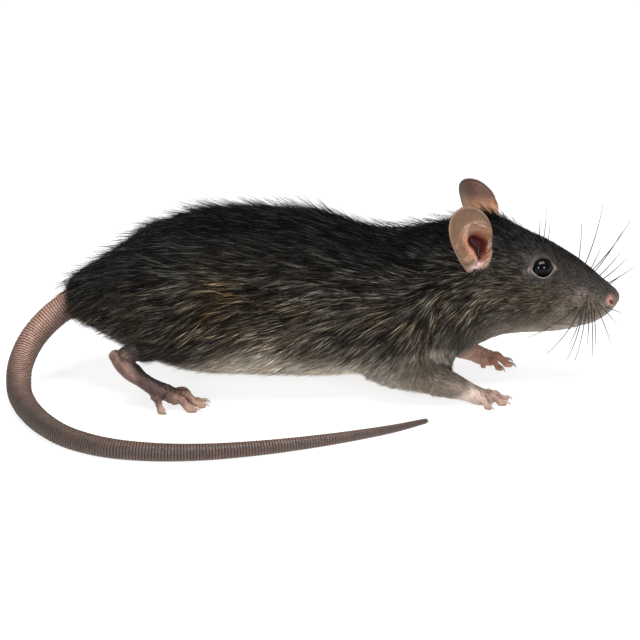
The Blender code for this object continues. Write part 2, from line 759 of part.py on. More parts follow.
def build_head(furs, nose_finish):
    """The head with its lids, jaw, whisker pads and nose."""
    head = body_length("head", HEAD_FROM + GAP, NOSE_FROM - GAP / 2, 3.0, 30, furs)
    fuse(head, [lid_ring(RIGHT), lid_ring(LEFT)])
    cut(head, [eyeball("socket", side, grow=GAP) for side in (RIGHT, LEFT)])
    for side in (RIGHT, LEFT):
        pad = body_length("pad", PAD_CENTRE[0] - PAD_RADII[0] - 3, NOSE_FROM - GAP / 2, 3.0, 30)
        pad.name = f"whisker_pad_{SIDE_NAMES[side]}"
        combine(pad, [pad_space(side)], "INTERSECT")
        pad.data.materials.clear()
        pad.data.materials.append(furs)
        fuse(pad, whisker_set(side))
    cut(head, [pad_space(side, grow=GAP) for side in (RIGHT, LEFT)])
    jaw = body_length("jaw", JAW_HINGE[0] - 2, MOUTH_TIP[0] + 2, 3.0, 30, furs)
    combine(jaw, [jaw_wedge("wedge")], "INTERSECT")
    cut(head, [jaw_wedge("wedge", grow=GAP)])
    nose = body_length("nose", NOSE_FROM + GAP / 2, BODY[-1].x, 1.0, 20, nose_finish)
    cut(nose, [nostril(side) for side in (RIGHT, LEFT)])


def build_rat():
    """Every piece of the rat."""
    dark = material("dark_fur", DARK_FUR, 0.7)
    grey = material("grey_fur", GREY_FUR, 0.7)
    bare = material("bare_skin", BARE_SKIN, 0.55)
    ear_skin = material("ear_skin", EAR_SKIN, 0.5)
    tail_skin = material("tail_skin", TAIL_SKIN, 0.55)
    nose_skin = material("nose_skin", NOSE_SKIN, 0.4)
    eye_gloss = material("eye_gloss", EYE_BLACK, 0.05)

    torso = body_length("torso", BODY[0].x, NECK_FROM, 8.0, 28, dark)
    neck = body_length("neck", NECK_FROM + GAP, HEAD_FROM, 5.0, 28, dark)
    build_head(grey, nose_skin)

    line = tail_line()
    for i in range(TAIL_LENGTHS):
        length = tail_piece(f"tail_{i + 1}", line, i, tail_skin)
        cut(length, [floor_block(length)])
    cut(torso, [tail_piece("tail_socket", line, 0, grow=GAP)])

    for side in (RIGHT, LEFT):
        word = SIDE_NAMES[side]
        hind, fore = HIND_SHIFT[side], FORE_SHIFT[side]
        eyeball(f"eye_{word}", side, eye_gloss)
        made_ear = ear(f"ear_{word}", side, ear_skin)
        cut(made_ear, [body_length("head_space", *EAR_TRIMMED, 3.0, 30, grow=GAP)])

        thigh(f"thigh_{word}", side, dark)
        sole = foot(f"hind_foot_{word}", HIND_SOLE, HIND_DIGITS, None, side, hind, bare)
        shank = limb(f"shank_{word}", SHANK, side, hind, 12, bare)
        cut(shank, [thigh("thigh_space", side, grow=GAP)])
        cut(shank, [limb("sole_space", HIND_SOLE, side, hind, 12, grow=GAP)])

        upper_arm(f"upper_arm_{word}", side, dark)
        foot(f"fore_paw_{word}", FORE_PALM, FORE_DIGITS, THUMB, side, fore, bare)
        forearm = limb(f"forearm_{word}", FOREARM, side, fore, 12, grey, end=False)
        cut(forearm, [upper_arm("arm_space", side, grow=GAP)])

        cut(
            torso,
            [
                thigh("thigh_space", side, grow=GAP),
                limb("shank_space", SHANK, side, hind, 12, grow=GAP),
                upper_arm("arm_space", side, grow=GAP),
                limb("forearm_space", FOREARM, side, fore, 12, grow=GAP),
            ],
        )
        cut(
            neck,
            [
                upper_arm("arm_space", side, grow=GAP),
                limb("forearm_space", FOREARM, side, fore, 12, grow=GAP),
            ],
        )


def settle_on_origin():
    """Moves everything so that the origin is on the floor under the middle of the whole model."""
    corners = np.array([v.co for o in bpy.data.objects for v in o.data.vertices])
    middle = (corners.min(0) + corners.max(0)) / 2
    for made in bpy.data.objects:
        shift = np.array([middle[0], middle[1], corners[:, 2].min()])
        moved = np.array([v.co for v in made.data.vertices]) - shift
        made.data.vertices.foreach_set("co", moved.astype(np.float32).ravel())
        made.data.update()
        made.data.shade_smooth()
        made.data.set_sharp_from_angle(angle=math.radians(50.0))


def main():
    """Builds the rat in an empty scene."""
    clear_scene()
    build_rat()
    settle_on_origin()


main()
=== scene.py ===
"""Looks of a roof rat, life size, as a still museum model that stands on its four feet.

Lengths in the classes are millimetres in the maker's own frame: +X towards the nose, +Y towards the left
side, +Z up from the floor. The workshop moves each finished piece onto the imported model, in metres.
"""

import enum
import logging
import math
from dataclasses import dataclass, field

import bpy
import numpy as np
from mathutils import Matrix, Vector


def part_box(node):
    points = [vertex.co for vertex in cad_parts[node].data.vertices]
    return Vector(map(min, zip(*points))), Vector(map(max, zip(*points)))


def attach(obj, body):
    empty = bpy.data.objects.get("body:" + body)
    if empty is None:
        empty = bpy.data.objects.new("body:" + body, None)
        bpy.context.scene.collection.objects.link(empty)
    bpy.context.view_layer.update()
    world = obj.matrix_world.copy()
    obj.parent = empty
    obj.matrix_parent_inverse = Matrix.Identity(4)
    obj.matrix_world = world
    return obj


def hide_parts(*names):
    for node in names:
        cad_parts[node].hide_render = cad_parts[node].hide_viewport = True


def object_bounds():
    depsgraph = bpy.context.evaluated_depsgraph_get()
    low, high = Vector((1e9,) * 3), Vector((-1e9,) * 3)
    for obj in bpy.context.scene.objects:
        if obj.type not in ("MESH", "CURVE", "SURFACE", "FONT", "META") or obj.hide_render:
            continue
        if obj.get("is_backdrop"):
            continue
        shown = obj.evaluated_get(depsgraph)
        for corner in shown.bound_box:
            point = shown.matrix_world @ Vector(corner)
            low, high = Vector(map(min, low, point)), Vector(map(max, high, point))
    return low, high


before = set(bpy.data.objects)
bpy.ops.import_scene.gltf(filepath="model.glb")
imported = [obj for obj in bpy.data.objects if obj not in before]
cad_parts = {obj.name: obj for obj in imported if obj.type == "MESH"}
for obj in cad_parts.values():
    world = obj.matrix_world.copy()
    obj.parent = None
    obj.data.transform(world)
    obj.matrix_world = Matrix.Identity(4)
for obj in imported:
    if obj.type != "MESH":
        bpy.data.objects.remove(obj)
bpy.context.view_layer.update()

MM = 0.001
TAIL_ROOT = (-81.5, -0.2, 27.6)
FLESH_DEPTHS = (1.0, 0.35, 0.2)
"""How deep red, green and blue light goes into flesh, against its scale."""
Socket = bpy.types.NodeSocket
Material = bpy.types.Material
log = logging.getLogger("roof_rat")


class Side(enum.Enum):
    """The two sides of the body, as the sign of Y."""

    RIGHT = -1
    LEFT = 1

    @property
    def word(self) -> str:
        """The side's name as used in piece names."""
        return self.name.lower()

    @property
    def flip(self) -> tuple:
        """What a point of the left side is multiplied by to lie on this one."""
        return (1, self.value, 1)

    def out(self, points: np.ndarray) -> np.ndarray:
        """How far each point lies out on this side."""
        return points[:, 1] * self.value


class Limb(enum.Enum):
    """The two pairs of legs."""

    HIND = "hind"
    FORE = "fore"


def ease(value: np.ndarray, low: float, high: float) -> np.ndarray:
    """A soft step: 0 up to low, 1 from high on, and 3t squared minus 2t cubed between them."""
    t = np.clip((np.asarray(value, float) - low) / (high - low), 0.0, 1.0)
    return t * t * (3 - 2 * t)


def fade(value: np.ndarray, low: float, high: float) -> np.ndarray:
    """The same step downward: 1 up to low, 0 from high on."""
    return 1 - ease(value, low, high)


def through(known_x, known_y, x) -> np.ndarray:
    """A smooth curve through known points.

    Between two points it is the cubic that takes at each of them the mean slope of its neighbours.

    Args:
        known_x: rising places along the curve.
        known_y: value, or row of values, at each place.
        x: places that are asked for.

    Returns:
        The value, or row of values, at each place asked for.
    """
    known_x, known_y = np.asarray(known_x, float), np.asarray(known_y, float)
    slopes = np.gradient(known_y, known_x, axis=0)
    x = np.clip(np.asarray(x, float), known_x[0], known_x[-1])
    i = np.clip(np.searchsorted(known_x, x, side="right") - 1, 0, len(known_x) - 2)
    width = known_x[i + 1] - known_x[i]
    t = (x - known_x[i]) / width
    if known_y.ndim > 1:
        t, width = t[..., None], width[..., None]
    rise, keep, leave = t * t * (3 - 2 * t), t * (1 - t) ** 2, t * t * (t - 1)
    lean = width * (keep * slopes[i] + leave * slopes[i + 1])
    return (1 - rise) * known_y[i] + rise * known_y[i + 1] + lean


def bell(*offsets) -> np.ndarray:
    """A bell curve: e to the power of minus the squared offsets, each offset counted in spreads."""
    power = -(np.asarray(offsets[0], float) ** 2)
    for offset in offsets[1:]:
        power = power - np.asarray(offset, float) ** 2
    return np.exp(power)


def blend(low, high, share) -> np.ndarray:
    """Colours or directions that go from low to high as the share at each place goes from 0 to 1."""
    share = np.asarray(share, float)[..., None]
    return low * (1 - share) + high * share


def chart(table, known_x, known_v, x: np.ndarray, v: np.ndarray) -> np.ndarray:
    """Reads a small chart at many places: a straight-line mean of its four nearest entries."""
    table, known_x, known_v = (np.asarray(a, float) for a in (table, known_x, known_v))
    i = np.clip(np.searchsorted(known_x, x) - 1, 0, len(known_x) - 2)
    j = np.clip(np.searchsorted(known_v, v) - 1, 0, len(known_v) - 2)
    a = np.clip((x - known_x[i]) / (known_x[i + 1] - known_x[i]), 0, 1)
    b = np.clip((v - known_v[j]) / (known_v[j + 1] - known_v[j]), 0, 1)
    low = table[i, j] * (1 - b) + table[i, j + 1] * b
    high = table[i + 1, j] * (1 - b) + table[i + 1, j + 1] * b
    return low * (1 - a) + high * a


def unit(rows: np.ndarray) -> np.ndarray:
    """Each row at length one."""
    rows = np.asarray(rows, float)
    return rows / np.maximum(np.linalg.norm(rows, axis=-1, keepdims=True), 1e-12)


def ripple(points: np.ndarray, wavelength: float, seed: int) -> np.ndarray:
    """Soft waves through space, mostly within -1 to 1: the sum over 2.6 of seven seeded sine waves."""
    draw = np.random.default_rng(seed)
    ways = unit(draw.normal(size=(7, 3))) * draw.uniform(0.7, 1.4, size=(7, 1))
    phases = draw.uniform(0, 2 * math.pi, size=7)
    return np.sin(points @ ways.T * (2 * math.pi / wavelength) + phases).sum(axis=1) / 2.6


def linear(colour) -> np.ndarray:
    """A colour given as 0 to 255 on the screen, as linear light."""
    c = np.asarray(colour, float) / 255.0
    return np.where(c <= 0.04045, c / 12.92, ((c + 0.055) / 1.055) ** 2.4)


def apart(points: np.ndarray, place) -> np.ndarray:
    """Distance of each point from a place."""
    return np.linalg.norm(points - place, axis=1)


def laid_in(ways: np.ndarray, normals: np.ndarray) -> np.ndarray:
    """Directions without their part along the normals."""
    return ways - (ways * normals).sum(1, keepdims=True) * normals


def turns(count: int) -> np.ndarray:
    """Even angles round a full turn."""
    return np.arange(count) * 2 * math.pi / count


def path_run(points: np.ndarray) -> np.ndarray:
    """Distance along a path from its first point to each of its points."""
    return np.concatenate([[0.0], np.cumsum(np.linalg.norm(np.diff(points, axis=0), axis=1))])


def path_frame(centre: np.ndarray, reference=(0.0, 0.0, 1.0)) -> tuple:
    """Directions along a path, level across it, and square to both."""
    ways = unit(np.gradient(centre, axis=0))
    across = unit(np.cross(ways, reference))
    return ways, across, np.cross(across, ways)


def rings_along(centre, wide, deep, around, reference=(0.0, 0.0, 1.0)) -> np.ndarray:
    """Oval rings round a path.

    A point stands off the path by the half width times the turn's cosine across it, and by the half
    depth times the turn's sine square to that.

    Args:
        centre: points of the path.
        wide: half width, for each point of the path and each turn.
        deep: half depth, in the same way.
        around: the turns of the points of a ring.
        reference: direction that the depth lies towards.

    Returns:
        The rings' points, one ring a row.
    """
    _, across, along = path_frame(centre, reference)
    rows = centre[:, None] + (wide * np.cos(around))[..., None] * across[:, None]
    return rows + (deep * np.sin(around))[..., None] * along[:, None]


def path_distance(points: np.ndarray, knots, radii) -> tuple:
    """Distance of points from a bent line.

    Args:
        points: places, one a row.
        knots: corners of the line.
        radii: the limb's radius at each corner.

    Returns:
        For each point's nearest place on the line, the distance over the radius there, the line's
        direction and the share of its run.
    """
    knots, radii = np.asarray(knots, float), np.asarray(radii, float)
    best = np.full(len(points), np.inf)
    way, share = np.zeros_like(points), np.zeros(len(points))
    for i in range(len(knots) - 1):
        leg = knots[i + 1] - knots[i]
        t = np.clip((points - knots[i]) @ leg / (leg @ leg), 0, 1)
        reach = np.linalg.norm(points - knots[i] - t[:, None] * leg, axis=1)
        reach = reach / (radii[i] + t * (radii[i + 1] - radii[i]))
        closer = reach < best
        best = np.where(closer, reach, best)
        way[closer] = unit(leg)
        share = np.where(closer, (i + t) / (len(knots) - 1), share)
    return best, way, share


@dataclass
class Form:
    """A surface as points with quads and triangles."""

    points: np.ndarray
    quads: np.ndarray = field(default_factory=lambda: np.zeros((0, 4), int))
    tris: np.ndarray = field(default_factory=lambda: np.zeros((0, 3), int))

    def triangles(self) -> np.ndarray:
        """All faces as triangles."""
        return np.concatenate([self.quads[:, [0, 1, 2]], self.quads[:, [0, 2, 3]], self.tris])

    def turned_out(self) -> "Form":
        """The same form with faces outward: the volume of the cells from its middle to them is positive."""
        corners = (self.points - self.points.mean(0))[self.triangles()]
        volume = np.einsum("ij,ij->i", corners[:, 0], np.cross(corners[:, 1], corners[:, 2])).sum()
        if volume < 0:
            return Form(self.points, self.quads[:, ::-1], self.tris[:, ::-1])
        return self

    @staticmethod
    def joined(forms: list) -> "Form":
        """Several forms as one."""
        starts = np.cumsum([0] + [len(f.points) for f in forms[:-1]])
        return Form(
            np.concatenate([f.points for f in forms]),
            np.concatenate([f.quads + s for f, s in zip(forms, starts)]),
            np.concatenate([f.tris + s for f, s in zip(forms, starts)]),
        )

    def mirrored(self) -> "Form":
        """The same form on the other side of the middle plane."""
        return Form(self.points * (1, -1, 1), self.quads, self.tris)


def ring_quads(strips: int, count: int, sides: int) -> np.ndarray:
    """Quads of the strips between neighbouring rings, of which the last may lead back to the first."""
    i, j = np.meshgrid(np.arange(strips), np.arange(sides), indexing="ij")
    near, far, after = i * sides, (i + 1) % count * sides, (j + 1) % sides
    return np.stack([near + j, near + after, far + after, far + j], axis=-1).reshape(-1, 4)


def closed_tube(rings: np.ndarray) -> Form:
    """A closed form: neighbouring rings joined by quads, the end rings filled by fans to their middle."""
    count, sides = rings.shape[:2]
    k = np.arange(sides)
    turn, last, pole = (k + 1) % sides, (count - 1) * sides, np.full(sides, count * sides)
    fans = np.concatenate([(turn, k, pole), (last + k, last + turn, pole + 1)], axis=1).T
    points = np.concatenate([rings.reshape(-1, 3), [rings[0].mean(0)], [rings[-1].mean(0)]])
    return Form(points, ring_quads(count - 1, count, sides), fans).turned_out()


def carried(points, wide, deep, rings: int, sides: int, reference=(0, 0, 1), domes=(True, True)) -> Form:
    """A tube with an oval section carried along a smooth path, its ends closed by quarter-circle domes.

    Args:
        points: corners of the path.
        wide: half width at each corner, across the reference direction.
        deep: half depth at each corner, along it.
        rings: number of sections along the path.
        sides: number of points round a section.
        reference: direction that the depth lies towards.
        domes: whether the first and the last end get a dome.

    Returns:
        The closed tube.
    """
    points = np.asarray(points, float)
    run = path_run(points)
    s = np.linspace(0, run[-1], rings)
    centre, w, d = through(run, points, s), through(run, wide, s), through(run, deep, s)
    bow = np.radians(np.array([15, 30, 45, 58, 70, 80, 86]))
    if domes[0]:
        way = unit(centre[0] - centre[1]) * min(w[0], d[0])
        centre = np.concatenate([(centre[0] + way * np.sin(bow)[:, None])[::-1], centre])
        w, d = (np.concatenate([(a[0] * np.cos(bow))[::-1], a]) for a in (w, d))
    if domes[1]:
        way = unit(centre[-1] - centre[-2]) * min(w[-1], d[-1])
        centre = np.concatenate([centre, centre[-1] + way * np.sin(bow)[:, None]])
        w, d = (np.concatenate([a, a[-1] * np.cos(bow)]) for a in (w, d))
    return closed_tube(rings_along(centre, w[:, None], d[:, None], turns(sides), reference))


def oval(centre, radii, lean: float, turn: float, rings: int = 60, sides: int = 80) -> Form:
    """An ellipsoid with its poles along its own X, leaned about Y and turned about Z, in degrees."""
    polar = np.linspace(0.02, math.pi - 0.02, rings)[:, None]
    around = (np.arange(sides) * 2 * math.pi / sides)[None]
    x = radii[0] * np.cos(polar) * np.ones_like(around)
    y = radii[1] * np.sin(polar) * np.cos(around)
    z = radii[2] * np.sin(polar) * np.sin(around)
    a, b = math.radians(lean), math.radians(turn)
    x, z = x * math.cos(a) - z * math.sin(a), x * math.sin(a) + z * math.cos(a)
    x, y = x * math.cos(b) - y * math.sin(b), x * math.sin(b) + y * math.cos(b)
    return closed_tube(np.stack([x, y, z], axis=-1) + np.asarray(centre, float))


class NodeBench:
    """Lays out the nodes of one material."""

    def __init__(self, name: str) -> None:
        """Starts from the plain shader and its output."""
        self.material = bpy.data.materials.new(name)
        self.material.use_nodes = True
        self.tree = self.material.node_tree
        self.shader = self.tree.nodes["Principled BSDF"]

    def feed(self, node: bpy.types.Node, inputs: dict) -> None:
        """Gives each named input of a node its value, or the socket that drives it."""
        for key, value in inputs.items():
            if isinstance(value, Socket):
                self.tree.links.new(value, node.inputs[key])
            else:
                node.inputs[key].default_value = value

    def add(self, kind: str, inputs: dict, **settings) -> bpy.types.Node:
        """A node of this kind with its own settings and inputs."""
        node = self.tree.nodes.new(f"ShaderNode{kind}")
        for key, value in settings.items():
            setattr(node, key, value)
        self.feed(node, inputs)
        return node

    def settle(self, **inputs) -> None:
        """Feeds the shader's own inputs; underscores stand for spaces."""
        self.feed(self.shader, {key.replace("_", " "): value for key, value in inputs.items()})

    def place(self, scale=(1.0, 1.0, 1.0)) -> Socket:
        """Object coordinates, stretched."""
        where = self.add("TexCoord", {}).outputs["Object"]
        return self.add("Mapping", {"Scale": scale, "Vector": where}).outputs["Vector"]

    def noise(self, vector: Socket, scale: float, detail: float = 4.0, rough: float = 0.55) -> Socket:
        """Cloudy noise between 0 and 1."""
        inputs = {"Scale": scale, "Detail": detail, "Roughness": rough, "Vector": vector}
        return self.add("TexNoise", inputs).outputs["Fac"]

    def cells(self, vector: Socket, scale: float) -> Socket:
        """Distance from the edges of cells."""
        inputs = {"Scale": scale, "Vector": vector}
        return self.add("TexVoronoi", inputs, feature="DISTANCE_TO_EDGE").outputs["Distance"]

    def ramp(self, value: Socket, low, high, start: float = 0.0, end: float = 1.0) -> Socket:
        """A colour that goes from low to high as the value goes from start to end."""
        strip = self.add("ValToRGB", {"Fac": value})
        for element, place, colour in zip(strip.color_ramp.elements, (start, end), (low, high)):
            element.position, element.color = place, (*colour, 1.0)
        return strip.outputs["Color"]

    def tone(self) -> Socket:
        """The colour painted on the piece's points."""
        return self.add("Attribute", {}, attribute_name="tone").outputs["Color"]

    def multiply(self, a: Socket, b: Socket, share: float) -> Socket:
        """One colour times a share of another."""
        inputs = {"Factor": share, "A": a, "B": b}
        return self.add("Mix", inputs, data_type="RGBA", blend_type="MULTIPLY").outputs["Result"]

    def relief(self, height: Socket, distance: float, strength: float, **under) -> Socket:
        """Fine relief from a height, over another relief if one is given as Normal."""
        inputs = {"Strength": strength, "Distance": distance, "Height": height, **under}
        return self.add("Bump", inputs).outputs["Normal"]


@dataclass(frozen=True)
class Finish:
    """What all finishes share: a named material whose nodes each kind lays out in its own way."""

    name: str

    def make(self) -> Material:
        """The material."""
        bench = NodeBench(self.name)
        self.lay_out(bench)
        return bench.material


@dataclass(frozen=True)
class HairFinish(Finish):
    """Hair: the colour painted on each tuft, with a faint mottle and a soft gloss."""

    roughness: float = 0.45
    gloss: float = 0.04
    mottle: float = 0.4

    def lay_out(self, bench: NodeBench) -> None:
        """Lays out its nodes."""
        cloud = bench.noise(bench.place(), 260.0)
        shade = bench.ramp(cloud, (0.62, 0.6, 0.58), (1.3, 1.28, 1.24), 0.3, 0.7)
        bench.settle(Base_Color=bench.multiply(bench.tone(), shade, self.mottle))
        bench.settle(Roughness=self.roughness, Specular_IOR_Level=self.gloss)


@dataclass(frozen=True)
class SkinFinish(Finish):
    """Skin under and beside the coat: painted colour, small blotches, pores and fine creases."""

    roughness: float = 0.5
    pore_depth: float = 0.00012
    softness: float = 0.12

    def lay_out(self, bench: NodeBench) -> None:
        """Lays out its nodes."""
        place = bench.place()
        blotches = bench.noise(place, 420.0, 5.0)
        blotch = bench.ramp(blotches, (0.72, 0.62, 0.6), (1.22, 1.2, 1.16), 0.32, 0.68)
        cracks = bench.ramp(bench.cells(place, 1500.0), (0.0,) * 3, (1.0,) * 3, 0.0, 0.25)
        pores = bench.relief(cracks, self.pore_depth, 0.6)
        grain = bench.noise(place, 900.0, 6.0, 0.6)
        dull, bright = (self.roughness - 0.1,) * 3, (self.roughness + 0.15,) * 3
        bench.settle(
            Base_Color=bench.multiply(bench.tone(), blotch, 0.8),
            Normal=bench.relief(grain, self.pore_depth * 1.6, 0.6, Normal=pores),
            Roughness=bench.ramp(bench.noise(place, 700.0, 3.0), dull, bright, 0.3, 0.7),
            Specular_IOR_Level=0.35,
            Subsurface_Weight=self.softness,
            Subsurface_Scale=0.0008,
            Subsurface_Radius=FLESH_DEPTHS,
        )


@dataclass(frozen=True)
class EarFinish(Finish):
    """Thin ear skin: painted colour, veins, short down and a soft sheen."""

    name: str = "ear_skin_finish"

    def lay_out(self, bench: NodeBench) -> None:
        """Lays out its nodes."""
        place = bench.place()
        veins = bench.ramp(bench.cells(place, 240.0), (0.8, 0.66, 0.62), (1.0,) * 3, 0.0, 0.08)
        hairs = bench.noise(bench.place((1.0, 1.0, 0.35)), 2600.0, 3.0)
        down = bench.ramp(hairs, (0.76, 0.74, 0.72), (1.2,) * 3, 0.35, 0.65)
        bench.settle(
            Base_Color=bench.multiply(bench.multiply(bench.tone(), veins, 0.6), down, 0.75),
            Normal=bench.relief(bench.noise(place, 1800.0, 4.0), 0.00008, 0.7),
            Roughness=0.5,
            Specular_IOR_Level=0.28,
            Sheen_Weight=0.06,
            Sheen_Roughness=0.35,
            Subsurface_Weight=0.2,
            Subsurface_Scale=0.0012,
            Subsurface_Radius=FLESH_DEPTHS,
        )


@dataclass(frozen=True)
class ScaleFinish(Finish):
    """Tail skin: rings of small scales laid out like bricks on the piece's own map, darker in the seams."""

    name: str = "tail_scale_finish"

    def lay_out(self, bench: NodeBench) -> None:
        """Lays out its nodes."""
        bricks = {
            "Vector": bench.add("UVMap", {}, uv_map="scales").outputs["UV"],
            "Color1": (1.06, 1.04, 1.02, 1.0),
            "Color2": (0.84, 0.82, 0.8, 1.0),
            "Mortar": (0.3, 0.26, 0.24, 1.0),
            "Scale": 1.0,
            "Mortar Size": 0.09,
            "Mortar Smooth": 0.7,
            "Bias": 0.0,
            "Brick Width": 1.0,
            "Row Height": 1.0,
        }
        scales = bench.add("TexBrick", bricks, offset=0.5, offset_frequency=2, squash=1.0)
        blotches = bench.noise(bench.place(), 330.0, 4.0)
        blotch = bench.ramp(blotches, (0.74, 0.7, 0.7), (1.2, 1.18, 1.16), 0.3, 0.7)
        painted = bench.multiply(bench.tone(), scales.outputs["Color"], 0.75)
        raised = bench.ramp(scales.outputs["Fac"], (1.0,) * 3, (0.0,) * 3)
        bench.settle(
            Base_Color=bench.multiply(painted, blotch, 0.7),
            Normal=bench.relief(raised, 0.00012, 0.7),
            Roughness=0.46,
            Specular_IOR_Level=0.4,
        )


@dataclass(frozen=True)
class WetFinish(Finish):
    """A wet black eye whose gloss fades in its lower half, where the cheek shades it."""

    name: str = "eye_finish"

    def lay_out(self, bench: NodeBench) -> None:
        """Lays out its nodes."""
        cloud = bench.noise(bench.place(), 500.0, 2.0)
        deep = bench.ramp(cloud, (0.0002, 0.0002, 0.0003), (0.0008, 0.0007, 0.0007), 0.3, 0.7)
        where = bench.add("TexCoord", {}).outputs["Object"]
        height = bench.add("SeparateXYZ", {"Vector": where}).outputs["Z"]
        low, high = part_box("eye_right")
        middle = (low[2] + high[2]) / 2
        fade = {"From Min": middle - 1.3 * MM, "From Max": middle + 0.1 * MM, "Value": height}
        share = bench.add("MapRange", fade).outputs["Result"]
        gloss = bench.ramp(share, (0.01,) * 3, (0.15,) * 3)
        bench.settle(Base_Color=deep, Specular_IOR_Level=gloss, Roughness=0.03)


@dataclass(frozen=True)
class HornFinish(Finish):
    """Claw horn: painted from a pinkish base to a pale tip, with fine streaks along it."""

    name: str = "claw_finish"

    def lay_out(self, bench: NodeBench) -> None:
        """Lays out its nodes."""
        grain = bench.noise(bench.place((0.4, 1.0, 1.0)), 2400.0, 3.0)
        streaks = bench.ramp(grain, (0.78, 0.76, 0.74), (1.15,) * 3, 0.35, 0.65)
        bench.settle(Base_Color=bench.multiply(bench.tone(), streaks, 0.8))
        bench.settle(Roughness=0.35, Specular_IOR_Level=0.4)


@dataclass(frozen=True)
class FloorFinish(Finish):
    """A plain pale studio floor."""

    name: str = "floor_finish"
    shade: float = 0.3
    glow: float = 0.78

    def lay_out(self, bench: NodeBench) -> None:
        """Lays out its nodes: a white sheet lit a little from beneath, as a light table is."""
        bench.settle(Base_Color=(*(self.shade,) * 3, 1.0), Roughness=0.85, Specular_IOR_Level=0.1)
        bench.settle(Emission_Color=(1.0, 1.0, 1.0, 1.0), Emission_Strength=self.glow)


def put(name: str, data) -> bpy.types.Object:
    """A new object in the scene."""
    made = bpy.data.objects.new(name, data)
    bpy.context.scene.collection.objects.link(made)
    return made


def read(rows, key: str, width: int = 1, kind: type = np.int32) -> np.ndarray:
    """One property of all rows of a mesh."""
    values = np.zeros(len(rows) * width, kind)
    rows.foreach_get(key, values)
    return values


@dataclass
class Workshop:
    """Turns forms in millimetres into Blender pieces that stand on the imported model."""

    shift: np.ndarray

    def to_frame(self, points: np.ndarray) -> np.ndarray:
        """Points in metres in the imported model's frame."""
        return np.asarray(points, float) * MM + self.shift

    def mesh(self, name: str, form: Form, in_frame: bool = True) -> bpy.types.Mesh:
        """A mesh from a form, in the model's frame or still in millimetres.

        Args:
            name: the mesh's name.
            form: the form, in millimetres.
            in_frame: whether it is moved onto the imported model, in metres.

        Returns:
            The mesh.
        """
        made = bpy.data.meshes.new(name)
        points = self.to_frame(form.points) if in_frame else form.points
        loops = np.concatenate([form.quads.ravel(), form.tris.ravel()]).astype(np.int32)
        split = len(form.quads) * 4
        starts = np.concatenate([np.arange(len(form.quads)) * 4, split + np.arange(len(form.tris)) * 3])
        made.vertices.add(len(points))
        made.vertices.foreach_set("co", points.astype(np.float32).ravel())
        made.loops.add(len(loops))
        made.loops.foreach_set("vertex_index", loops)
        made.polygons.add(len(starts))
        made.polygons.foreach_set("loop_start", starts.astype(np.int32))
        made.update(calc_edges=True)
        made.validate()
        made.shade_smooth()
        return made

    def paint(self, mesh: bpy.types.Mesh, colours: np.ndarray) -> None:
        """Paints a colour on each point of a mesh."""
        layer = mesh.color_attributes.new("tone", "FLOAT_COLOR", "POINT")
        rows = np.concatenate([np.clip(colours, 0, 1), np.ones((len(colours), 1))], axis=1)
        layer.data.foreach_set("color", rows.astype(np.float32).ravel())

    def map_loops(self, mesh: bpy.types.Mesh, name: str, places: np.ndarray) -> None:
        """Gives a mesh a UV map from a place for each face corner."""
        layer = mesh.uv_layers.new(name=name)
        layer.uv.foreach_set("vector", places.astype(np.float32).ravel())

    def show(self, mesh: bpy.types.Mesh, finish: Material, slot: str, nodes: tuple = ()) -> None:
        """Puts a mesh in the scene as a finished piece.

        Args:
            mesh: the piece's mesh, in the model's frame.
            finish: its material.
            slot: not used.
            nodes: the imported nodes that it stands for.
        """
        mesh.materials.append(finish)
        made = put(mesh.name, mesh)
        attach(made, "root")
        if nodes:
            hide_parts(*nodes)
        log.info("%s: %d faces", mesh.name, len(mesh.polygons))

    def piece(self, name: str, form: Form, colours: np.ndarray, finish, slot: str, nodes: tuple = ()) -> None:
        """A painted form as a finished piece."""
        mesh = self.mesh(name, form)
        self.paint(mesh, colours)
        self.show(mesh, finish, slot, nodes)

    def run_together(self, forms: list, voxel: float) -> Form:
        """Several forms run together as one surface, with faces of about the voxel's size."""
        return self.reworked(Form.joined(forms), "REMESH", {"mode": "VOXEL", "voxel_size": voxel})

    def reworked(self, form: Form, kind: str, settings: dict, members: np.ndarray | None = None) -> Form:
        """Runs a form through a Blender modifier.

        Args:
            form: the form, in millimetres.
            kind: the modifier's kind.
            settings: its settings.
            members: the points that it works on, or None for all.

        Returns:
            The form that comes out, in millimetres.
        """
        made = put("work", self.mesh("work", form, in_frame=False))
        step = made.modifiers.new(kind, kind)
        if members is not None:
            group = made.vertex_groups.new(name="members")
            group.add(members.tolist(), 1.0, "REPLACE")
            step.vertex_group = group.name
        for key, value in settings.items():
            setattr(step, key, value)
        bpy.context.view_layer.update()
        mesh = made.evaluated_get(bpy.context.evaluated_depsgraph_get()).to_mesh()
        points = read(mesh.vertices, "co", 3, np.float32)
        sizes, corners = read(mesh.polygons, "loop_total"), read(mesh.loops, "vertex_index")
        starts = np.concatenate([[0], np.cumsum(sizes)[:-1]])
        quads = corners[starts[sizes == 4][:, None] + np.arange(4)]
        tris = corners[starts[sizes == 3][:, None] + np.arange(3)]
        source = made.data
        bpy.data.objects.remove(made)
        bpy.data.meshes.remove(source)
        return Form(points.reshape(-1, 3).astype(float), quads, tris)


def eased_out(form: Form, weight: np.ndarray, rounds: int) -> Form:
    """Softens a form: each round moves a point half way, times its weight, to the mean of its neighbours."""
    points, faces = form.points.copy(), [form.quads, form.tris]
    ends = [np.concatenate([f, np.roll(f, -1, axis=1)]).reshape(2, -1) for f in faces if len(f)]
    a, b = np.concatenate(ends, axis=1)
    size = len(points)
    count = np.maximum(np.bincount(a, minlength=size) + np.bincount(b, minlength=size), 1)
    for _ in range(rounds):
        sums = [np.bincount(a, row[b], size) + np.bincount(b, row[a], size) for row in points.T]
        points += (np.stack(sums, axis=1) / count[:, None] - points) * (0.5 * weight)[:, None]
    return Form(points, form.quads, form.tris)


